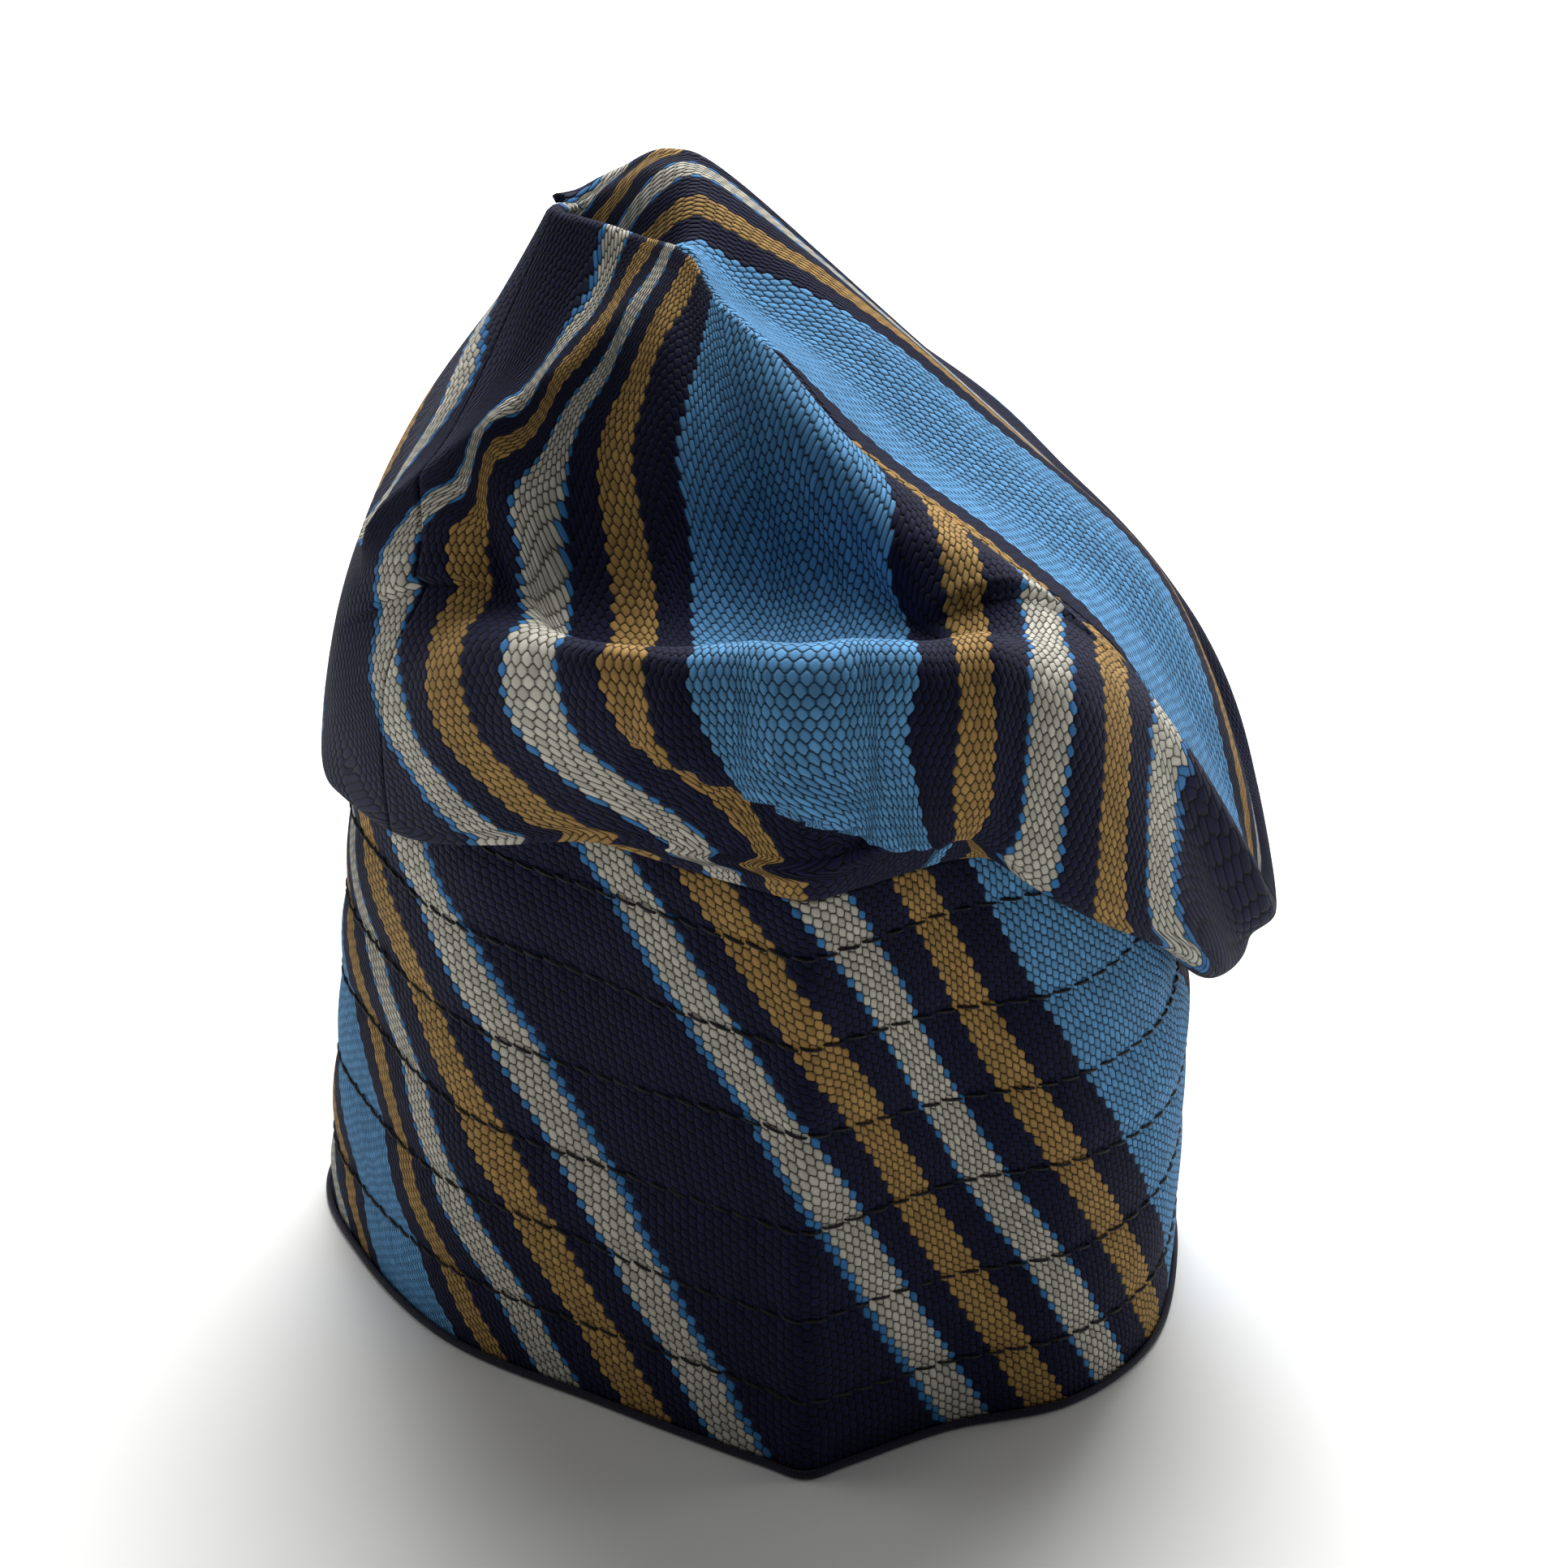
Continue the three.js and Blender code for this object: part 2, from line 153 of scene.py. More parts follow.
def run_along(points):
    """Distances along points on their first axis, from 0, in each column of them."""
    step = np.linalg.norm(np.diff(points, axis=0), axis=-1)
    return np.concatenate([np.zeros_like(step[:1]), np.cumsum(step, axis=0)])


# The outline by its length, from the rear crease round by the left side.
_fine = np.linspace(0, 1, 4001)
_line = spline(OUTLINE, _fine, True)
_length = run_along(_line)
GIRTH_SCALE = HEAD_GIRTH / _length[-1]
LEFT_SIDE, RIGHT_SIDE = -99 * GIRTH_SCALE, 82 * GIRTH_SCALE


def outline_at(share):
    """(x, y) on the band's outline and the direction out of it, at shares of its length."""
    share = np.mod(share, 1.0)
    at = np.interp(share * _length[-1], _length, _fine)
    ahead = spline(OUTLINE, np.mod(at + 2e-4, 1), True)
    behind = spline(OUTLINE, np.mod(at - 2e-4, 1), True)
    run = ahead - behind
    run /= np.linalg.norm(run, axis=-1, keepdims=True)
    out = np.stack([run[:, 1], -run[:, 0]], -1)
    return spline(OUTLINE, at, True) * GIRTH_SCALE, out


def band_point(share, height, out):
    """Points of the band at shares round it, heights, and distances out of its cloth."""
    share, height, out = np.broadcast_arrays(
        np.asarray(share, float), np.asarray(height, float), np.asarray(out, float)
    )
    flat, normal = outline_at(share.ravel())
    flat = (flat + normal * out.reshape(-1, 1)).reshape(share.shape + (2,))
    rise = np.minimum(1, height / BAND_HEIGHT)
    lean = LEFT_LEAN * rise * smoothstep(flat[..., 0] / LEFT_SIDE, 0, 1)
    lean -= RIGHT_LEAN * np.maximum(0, 2 * rise - 1) * smoothstep(flat[..., 0] / RIGHT_SIDE, 0, 1)
    return np.stack([flat[..., 0] + lean, flat[..., 1], height], -1)


def station_place(share):
    places = np.array([s[0] for s in STATIONS] + [1.0])
    return np.interp(np.mod(share, 1.0), places, np.arange(len(places)) / len(STATIONS))


def column(k):
    return np.array([tuple(s[k]) + (0,) * (3 - len(s[k])) for s in STATIONS], float)


def crown_profile(share):
    """The ten places that the crown's cloth passes, foot to ridge, for each share round."""
    share = np.asarray(share, float)
    place = station_place(share)
    lip, belly, waist, ridge = (spline(column(k), place, True, False) for k in (1, 2, 3, 4))
    foot = -STACK - 1.6 * GAP - CLOTH / 2
    hangs = smoothstep(-lip[:, 1], -4, 4)
    inner_out = (HANG_OUT + lip[:, 0]) / 2 * (1 - hangs) + HANG_OUT * hangs
    inner_up = (0.6 * lip[:, 1] + 1) * (1 - hangs) + (lip[:, 1] + 1.5 * LIP_RADIUS) * hangs
    scale = np.array([GIRTH_SCALE, GIRTH_SCALE, 1.0])
    edge = np.array([0, 0, BAND_HEIGHT])
    return np.stack([
        band_point(share, BAND_HEIGHT - TUCK, foot),
        band_point(share, BAND_HEIGHT + 0.6, foot),
        band_point(share, BAND_HEIGHT + RIM, -STACK / 2),
        band_point(share, BAND_HEIGHT + 2.2, HANG_OUT - 1.2),
        band_point(share, BAND_HEIGHT + inner_up, inner_out),
        band_point(share, BAND_HEIGHT + lip[:, 1], (inner_out + lip[:, 0]) / 2),
        band_point(share, BAND_HEIGHT + lip[:, 1] + 1.5 * LIP_RADIUS, lip[:, 0]),
        band_point(share, BAND_HEIGHT + belly[:, 1], belly[:, 0]),
        waist * scale + edge,
        ridge * scale + edge,
    ])


def crown_surface(share, up):
    """A grid of points of the crown's wall: rows go from foot (0) to ridge (1)."""
    return spline(crown_profile(share), up, False)


# ---- how the stripes of the cloth lie on each piece ----

# Across its width a strip of cloth has this order of colours, mirrored about both ends.
STRIP_WIDTH = 202.0
WARP_PITCH = STRIP_WIDTH / 252
WEFT_PITCH = 3.8  # two rows of floats

# Millimetres across the cloth, at even places up the band and round it from the rear crease.
BAND_STRIPES = np.array([
    (-249, -221, -192, -173, -157, -106, -59, -30, -5, 24, 57, 90, 119, 147, 176, 204, 232),
    (-235, -206, -179, -155, -117, -66, -38, -16, 8, 39, 74, 104, 133, 162, 190, 218, 246),
    (-221, -193, -166, -128, -73, -43, -23, -3, 21, 57, 90, 119, 147, 175, 204, 232, 260),
    (-207, -179, -150, -101, -39, -22, -7, 13, 37, 71, 102, 133, 161, 189, 218, 246, 274),
    (-193, -165, -139, -93, -33, -5, 11, 30, 53, 83, 114, 146, 175, 203, 231, 260, 288),
], float)

# The same on the crown's wall, from half way up its profile to the ridge, at shares of the
# girth from 0.16 to 0.76.
CROWN_STRIPES = np.array([
    (-65, -51, -37, -25, -14, -4, 3, 8, 12, 15, 19, 24, 31, 34, 39, 48, 63, 84, 108, 124,
     138, 152, 165, 177, 185, 191, 196, 202, 213, 225, 236),
    (-64, -50, -36, -23, -11, -2, 5, 9, 11, 14, 19, 26, 34, 38, 41, 50, 65, 86, 109, 126,
     140, 153, 166, 177, 185, 191, 196, 202, 213, 224, 236),
    (-64, -49, -34, -21, -10, -1, 5, 8, 10, 12, 18, 26, 33, 38, 44, 54, 69, 89, 110, 128,
     142, 154, 166, 176, 184, 190, 195, 202, 213, 225, 236),
    (-64, -49, -34, -20, -9, -1, 4, 7, 9, 12, 18, 25, 32, 38, 45, 55, 71, 92, 114, 131,
     144, 156, 167, 177, 184, 190, 195, 202, 213, 224, 236),
    (-64, -48, -33, -20, -8, -1, 3, 5, 8, 12, 18, 25, 32, 38, 44, 54, 69, 93, 119, 137,
     147, 156, 168, 179, 186, 192, 196, 203, 213, 224, 236),
    (-64, -48, -33, -20, -8, -1, 2, 4, 8, 13, 21, 29, 35, 41, 46, 54, 65, 94, 122, 137,
     146, 156, 170, 183, 190, 194, 197, 202, 213, 225, 236),
    (-64, -48, -34, -20, -9, -2, 0, 6, 12, 20, 29, 37, 44, 49, 55, 61, 75, 103, 126, 136,
     144, 156, 172, 186, 192, 195, 198, 203, 213, 224, 236),
    (-64, -49, -34, -21, -11, -4, 3, 14, 21, 30, 39, 46, 51, 58, 66, 75, 90, 114, 127, 136,
     144, 156, 171, 184, 191, 195, 198, 203, 213, 224, 236),
    (-64, -48, -34, -20, -9, 0, 11, 20, 27, 35, 42, 48, 53, 61, 70, 81, 94, 113, 125, 136,
     144, 155, 168, 181, 189, 194, 197, 202, 213, 225, 236),
    (-64, -48, -33, -19, -7, 2, 14, 24, 32, 39, 44, 49, 54, 60, 70, 80, 94, 110, 122, 133,
     143, 154, 166, 179, 189, 194, 197, 203, 213, 224, 236),
    (-64, -48, -33, -18, -5, 5, 16, 24, 34, 43, 47, 49, 54, 61, 70, 80, 92, 105, 118, 129,
     139, 151, 164, 179, 190, 195, 198, 202, 213, 225, 236),
    (-64, -49, -35, -21, -3, 7, 13, 22, 33, 42, 46, 50, 54, 63, 71, 79, 89, 102, 114, 125,
     136, 148, 162, 177, 189, 196, 199, 203, 213, 224, 236),
    (-64, -48, -37, -33, -21, -13, -7, 0, 8, 34, 44, 52, 57, 65, 74, 79, 88, 102, 111, 122,
     131, 144, 158, 175, 190, 196, 199, 203, 212, 225, 236),
    (-62, -44, -30, -27, -28, -26, -19, -12, -6, 6, 16, 41, 57, 67, 76, 83, 91, 100, 108, 117,
     127, 141, 155, 171, 188, 195, 199, 204, 213, 225, 236),
    (-61, -43, -29, -22, -19, -15, -12, -8, -1, 5, 12, 18, 34, 53, 70, 79, 87, 95, 103, 111,
     122, 138, 153, 169, 183, 191, 197, 204, 213, 225, 236),
    (-63, -46, -32, -23, -16, -12, -8, -5, -1, 6, 13, 19, 24, 32, 55, 68, 78, 87, 97, 107,
     119, 134, 149, 164, 176, 186, 194, 202, 213, 225, 236),
], float)
CROWN_TABLE_ROUND = (0.16, 0.76)
CROWN_TABLE_UP = 0.5
CLOTH_ROUND = 620.0  # millimetres of cloth once round the crown, past the table's ends
BELLY_UP = 0.77
LAP_END, LAP_SHADE_NAVY = 0.532, (72, 79)  # where the lap ends, and the navy stripes painted below it as its shadow
MITRE_WIDTH = 6.0


def table_at(table, up, along):
    """Smooth values of an evenly spaced table, for places 0 to 1 up it and along it."""
    up, along = np.clip(up, 0, 1), np.clip(along, 0, 1)
    rows = spline(table, up, False, False)
    return spline(rows.T, along, False, False).T


def band_cloth_place(share, height):
    """(across, along) the cloth in millimetres on a grid of the band."""
    across = table_at(BAND_STRIPES, height / BAND_HEIGHT, share)
    along = 0.844 * height[:, None] - 0.536 * HEAD_GIRTH * share[None, :]
    return np.stack([across, along], -1)


def crown_cloth_place(points, share, up):
    """(across, along) the cloth on a grid of the crown's wall whose rows rise from its foot."""
    low, high = CROWN_TABLE_ROUND
    across = table_at(
        CROWN_STRIPES, (up - CROWN_TABLE_UP) / (1 - CROWN_TABLE_UP), (share - low) / (high - low)
    )
    across += CLOTH_ROUND * (share - np.clip(share, low, high))[None, :]
    along = run_along(points)
    # The weft runs level at the belly, and the warp is measured up and down from there.
    along -= along[np.argmin(np.abs(up - BELLY_UP))][None, :]
    if share[0] < TIP_SEAM:
        # Below the lap of the front fold the blue stripe is painted as navy stripes: painted shadow
        # of the lap over the cloth it hides.
        lap = np.array(next(path for *_, kind, path in FOLDS if kind == "lap")) * WALL_SCALE
        side = place_by_line(np.stack(np.meshgrid(share, up), -1) * WALL_SCALE, lap)[1]
        low, high = LAP_SHADE_NAVY
        under = (side < 0) & (across > low) & (share < LAP_END)[None, :]
        lap_shade_across = high - np.abs((0.6 * (across - low)) % (2 * (high - low)) - (high - low))
        across = np.where(under, lap_shade_across, across)
        return np.stack([across, along], -1)
    # The strip at the right and the rear starts again at the tip's seam, and is mitred there: on
    # the rear its stripes run level with the ridge.
    down = along[-1][None, :] - along
    level = 1 / (1 + np.exp(np.clip((down - (across - STRIP_WIDTH)) / MITRE_WIDTH, -40, 40)))
    across = (across - STRIP_WIDTH) * (1 - level) + down * level
    return np.stack([across, along * (1 - level) + CLOTH_ROUND * share[None, :] * level], -1)


# ---- shapes of the pieces, in millimetres ----


def unit(vectors):
    return vectors / np.maximum(np.linalg.norm(vectors, axis=-1, keepdims=True), 1e-9)


def grid_normals(points):
    """Directions out of a grid whose columns run round the cap and whose rows rise."""
    return unit(np.cross(np.gradient(points, axis=1), np.gradient(points, axis=0)))


def unevenness(a, b):
    """A gentle unevenness from -1 to 1, as hand-made cloth has, over two lengths in millimetres."""
    return (
        np.sin(a / 9.1 + 1.3 * np.sin(b / 13.7)) * 0.45
        + np.sin(b / 7.3 + 1.1 * np.sin(a / 17.9) + 2.1) * 0.3
        + np.sin((a + b) / 23.0 + 0.7) * 0.25
    )


def quilt_row_height(row, share):
    """The height of a row of quilting: sewn by hand, so never quite level."""
    sway = 0.8 * np.sin(TAU * share * 3 + row * 1.7) + 0.4 * np.sin(TAU * share * 7 + row * 4.1)
    return FIRST_ROW + row * QUILT_PITCH + sway


def band_layer(share, height, depth, puff):
    """A layer of the band at a depth inwards: its rows of thread hold it, and it swells between."""
    at, level = share[None, :], height[:, None]
    row = (level - FIRST_ROW) / QUILT_PITCH
    sway = quilt_row_height(row, at) - FIRST_ROW - row * QUILT_PITCH
    row = (level - sway - FIRST_ROW) / QUILT_PITCH
    swell = np.abs(np.sin(np.pi * row)) ** 0.7
    near = np.exp(-((np.sin(np.pi * row) / 0.45) ** 2))
    run = at * HEAD_GIRTH
    gathers = np.sin(run / 1.15 + 3 * np.round(row) + 1.4 * np.sin(run / 11)) * near
    free = smoothstep(level, 3, 10) * (1 - smoothstep(level, BAND_HEIGHT - 5, BAND_HEIGHT))
    out = puff * (swell - 0.35 + 0.16 * gathers + 0.3 * unevenness(run, level * 1.3)) * free
    return band_point(at + 0 * level, level + 0 * at, out - depth)


# Folds of the crown's cloth, each along a line of (share round, share up): how far it pushes the
# cloth out, how far it reaches above and below the line, and its kind.
FOLDS = (
    (6.0, 7, 15, "ridge",
     ((0.255, 0.872), (0.279, 0.890), (0.303, 0.892), (0.327, 0.906),
      (0.356, 0.927), (0.376, 0.943), (0.396, 0.963), (0.425, 0.981), (0.455, 0.998))),
    (-14.0, 18, 24, "dent",
     ((0.340, 0.840), (0.367, 0.844), (0.403, 0.862), (0.442, 0.867), (0.473, 0.883),
      (0.507, 0.893), (0.542, 0.908))),
    (1.6, 10, 18, "ridge",
     ((0.320, 0.800), (0.345, 0.795), (0.383, 0.776), (0.428, 0.782), (0.460, 0.782),
      (0.482, 0.793), (0.513, 0.788), (0.530, 0.780))),
    (2.5, 10, 10, "ridge",
     ((0.548, 0.660), (0.549, 0.737), (0.553, 0.802), (0.565, 0.910), (0.575, 0.977))),
    (4.0, 14, 8, "lap",
     ((0.430, 0.735), (0.450, 0.725), (0.468, 0.718), (0.483, 0.710), (0.498, 0.687),
      (0.516, 0.650), (0.530, 0.620))),
)
UP_LENGTH = 405.0  # millimetres up the wall's upper half, if it went on to the foot
WALL_SCALE = np.array([HEAD_GIRTH, UP_LENGTH])


def place_by_line(points, line):
    """The distance of points from a line of points, the side they lie on and the share along."""
    best = np.full(points.shape[:-1], 1e9)
    side, along = np.zeros_like(best), np.zeros_like(best)
    run = run_along(line)
    for a, b, start in zip(line[:-1], line[1:], run[:-1]):
        edge = b - a
        length = np.linalg.norm(edge)
        away = points - a
        t = np.clip((away @ edge) / length**2, 0, 1)
        gap = np.linalg.norm(away - t[..., None] * edge, axis=-1)
        nearer = gap < best
        best = np.where(nearer, gap, best)
        turn = edge[0] * away[..., 1] - edge[1] * away[..., 0]
        side = np.where(nearer, turn / length, side)
        along = np.where(nearer, (start + t * length) / run[-1], along)
    return best, side, along


def fold_push(share, up):
    """How far folds and dents push the crown's cloth out of its smooth shape."""
    points = np.stack(np.meshgrid(share, up), -1) * WALL_SCALE
    total = np.zeros(points.shape[:-1])
    for push, above, below, kind, path in FOLDS:
        gap, side, along = place_by_line(points, np.array(path) * WALL_SCALE)
        reach = np.where(side > 0, above, below)
        ends = smoothstep(along, 0, 0.12) * (1 - smoothstep(along, 0.88, 1))
        if kind == "dent":
            total += push * np.exp(-((gap / reach) ** 2))
        elif kind == "ridge":
            total += push * np.exp(-np.sqrt(gap**2 + 1.0) / reach) * ends
        else:
            step = np.tanh(side / 0.9)
            total += push * np.where(step > 0, step, 0.7 * step) * np.exp(-gap / reach) * ends
    return total * (1 - smoothstep(up, 0.955, 0.998))[:, None]


def crown_layer(share, up, wrinkle):
    """The middle of the crown's cloth, with the small unevenness of soft cloth that stands up."""
    points = crown_surface(share, up)
    normal = grid_normals(points)
    run = HEAD_GIRTH * share[None, :] + 0 * up[:, None]
    rise = 230 * up[:, None] + 0 * share[None, :]
    free = smoothstep(up, 0.62, 0.75) * (1 - smoothstep(up, 0.95, 1.0))
    push = wrinkle * unevenness(1.6 * run, rise) * free[:, None] + fold_push(share, up)
    return points + normal * push[..., None]


ROLL_TURNS = (35, 70, 105, 140)  # degrees


def with_rolled_edge(points, radius):
    """Adds rows past the last one that roll the cloth's edge inwards."""
    edge = points[-1]
    ahead = unit(points[-1] - points[-3])
    out = grid_normals(points)[-1]
    rows = [
        edge + radius * (math.sin(math.radians(t)) * ahead - (1 - math.cos(math.radians(t))) * out)
        for t in ROLL_TURNS
    ]
    return np.concatenate([points, np.array(rows)])


def ridge_at(share):
    return crown_profile(np.atleast_1d(share))[-1]


TOP_LEFT, TOP_TIP = 0.045, 0.985
CREASE = 0.44
VALLEY_DEPTH = 6.0


def top_surface(along, across):
    """The top strip: rows from its front edge to its rear edge, columns from its left end."""
    inner = TOP_LEFT + (TOP_TIP - TOP_LEFT) * along
    front = ridge_at(LEFT_END + inner * (TIP_END - LEFT_END))
    rear = ridge_at(LEFT_END - inner * (1 - TIP_END + LEFT_END))
    width = np.linalg.norm(front - rear, axis=-1)
    inset = np.minimum(0.35, 1.7 / width)
    place = inset[None, :] + (1 - 2 * inset[None, :]) * across[:, None]
    points = front[None] * (1 - place[..., None]) + rear[None] * place[..., None]
    depth = VALLEY_DEPTH * (1 - smoothstep(inner, 0.45, 0.85))
    sink = np.minimum(depth, 0.3 * width)[None, :] * (4 * across * (1 - across))[:, None]
    points[..., 2] -= sink
    # The strip swells before it turns down into the rear seam.
    swell = smoothstep(across, 0.3, 0.66) * (1 - smoothstep(across, 0.74, 1.06))
    points[..., 2] += 0.12 * np.minimum(width, 60)[None, :] * swell[:, None]
    # Left of a short crease the strip falls away behind the front wall's edge.
    left = 1 - smoothstep(inner, CREASE - 0.08, CREASE)
    points[..., 2] -= left[None, :] * 7 * smoothstep(1 - across, 0.15, 0.8)[:, None]
    return points


def top_cloth_place(points, along):
    inner = TOP_LEFT + (TOP_TIP - TOP_LEFT) * along
    total = run_along(points)
    from_rear = total[-1][None, :] - total
    # Near the rear seam the cloth is drawn in, which narrows its stripes.
    drawn = 1.5 * np.minimum(from_rear, 28) + 0.88 * np.maximum(from_rear - 28, 0)
    across = 37 - 27 * (1 - smoothstep(inner, 0.1, CREASE))[None, :] + drawn
    run = run_along(points[len(points) // 2])
    return np.stack([across, np.broadcast_to(run, across.shape)], -1)


# ---- meshes ----


def to_metres(points):
    return (np.asarray(points) + SHIFT) * MM


def new_object(name, vertices, faces, material, values):
    """A smooth mesh object in metres, with values of the cloth or thread stored on its points."""
    mesh = bpy.data.meshes.new(name)
    mesh.from_pydata(vertices.reshape(-1, 3).tolist(), [], faces)
    flat = np.zeros((len(mesh.vertices), 3), np.float32)
    flat[:, : values.shape[-1]] = values.reshape(-1, values.shape[-1])
    layer = mesh.attributes.new("cloth", "FLOAT_VECTOR", "POINT")
    layer.data.foreach_set("vector", flat.ravel())
    mesh.polygons.foreach_set("use_smooth", [True] * len(mesh.polygons))
    mesh.materials.append(material)
    mesh.update()
    made = bpy.data.objects.new(name, mesh)
    bpy.context.scene.collection.objects.link(made)
    return made


def cloth_piece(name, points, places, thickness, material, offset=0.0):
    """A sheet of cloth from a grid of points, given its thickness by a modifier."""
    rows, columns = points.shape[:2]
    corner = (np.arange(rows - 1)[:, None] * columns + np.arange(columns - 1)[None, :]).ravel()
    faces = np.stack([corner, corner + 1, corner + columns + 1, corner + columns], -1)
    made = new_object(name, to_metres(points), faces.tolist(), material, places)
    solid = made.modifiers.new("Cloth thickness", "SOLIDIFY")
    solid.thickness = thickness * MM
    solid.offset = offset
    return made


def tube_piece(name, rings, material, values):
    """A tube from rings of points that runs round into itself."""
    count, sides = rings.shape[:2]
    faces = []
    for i in range(count):
        a, b = i * sides, (i + 1) % count * sides
        for j in range(sides):
            k = (j + 1) % sides
            faces.append((a + j, a + k, b + k, b + j))
    return new_object(name, to_metres(rings), faces, material, values)


def stitch_piece(name, path, out, length, gap, diameter, material, slant=0.0):
    """A row of stitches along a path: each lies over the cloth and dives in at its two ends."""
    run = run_along(path)
    count = max(1, int(run[-1] // (length + gap)))
    pitch = run[-1] / count
    sides = 6
    places = np.array([-1, -0.82, -0.4, 0, 0.4, 0.82, 1])
    lift = np.array([-0.75, -0.05, 0.3, 0.36, 0.3, -0.05, -0.75]) * diameter
    girth = np.array([0.6, 0.9, 1, 1, 1, 0.9, 0.6]) * diameter / 2
    centre = (np.arange(count) + 0.5) * pitch
    at = centre[:, None] + places[None, :] * (pitch - gap) / 2
    middle = np.stack([np.interp(at, run, path[:, k]) for k in range(3)], -1)
    up = unit(np.stack([np.interp(at, run, out[:, k]) for k in range(3)], -1))
    ahead = unit(np.gradient(middle, axis=1))
    side = unit(np.cross(ahead, up))
    middle = middle + up * lift[None, :, None] + side * (slant * places)[None, :, None]
    angle = np.arange(sides) / sides * TAU
    ring = (
        side[:, :, None] * np.cos(angle)[None, None, :, None]
        + up[:, :, None] * np.sin(angle)[None, None, :, None]
    )
    points = middle[:, :, None] + ring * girth[None, :, None, None]
    values = np.stack(np.broadcast_arrays(at[:, :, None], angle[None, None, :] / TAU), -1)
    faces = []
    for s in range(count):
        base = s * len(places) * sides
        for i in range(len(places) - 1):
            for j in range(sides):
                k = (j + 1) % sides
                a, b = base + i * sides, base + (i + 1) * sides
                faces.append((a + k, a + j, b + j, b + k))
        faces.append(tuple(base + j for j in range(sides)))
        last = base + (len(places) - 1) * sides
        faces.append(tuple(last + j for j in reversed(range(sides))))
    return new_object(name, to_metres(points), faces, material, values)


# ---- materials ----


def linear(code):
    """A linear colour from an sRGB hex value."""
    parts = [int(code[i:i + 2], 16) / 255 for i in (1, 3, 5)]
    return tuple(c / 12.92 if c <= 0.04045 else ((c + 0.055) / 1.055) ** 2.4 for c in parts)


def node(tree, kind, inputs=None, **settings):
    """Adds one node: its own settings, and its inputs as values, or as nodes or sockets to link."""
    made = tree.nodes.new("ShaderNode" + kind)
    for name, value in settings.items():
        setattr(made, name, value)
    for key, value in (inputs or {}).items():
        if isinstance(value, bpy.types.Node):
            value = value.outputs[0]
        if isinstance(value, bpy.types.NodeSocket):
            tree.links.new(value, made.inputs[key])
        else:
            made.inputs[key].default_value = value
    return made


def new_material(name):
    material = bpy.data.materials.new(name)
    material.use_nodes = True
    material.node_tree.nodes.clear()
    return material, material.node_tree


def finish_material(material, inputs):
    tree = material.node_tree
    shader = node(tree, "BsdfPrincipled", inputs)
    node(tree, "OutputMaterial", {"Surface": shader})
    return material


def cloth_coordinates(tree):
    """The stored place on the cloth or thread in millimetres, whole and split into X and Y."""
    stored = node(tree, "Attribute", attribute_type="GEOMETRY", attribute_name="cloth")
    place = stored.outputs["Vector"]
    return place, node(tree, "SeparateXYZ", {0: place})


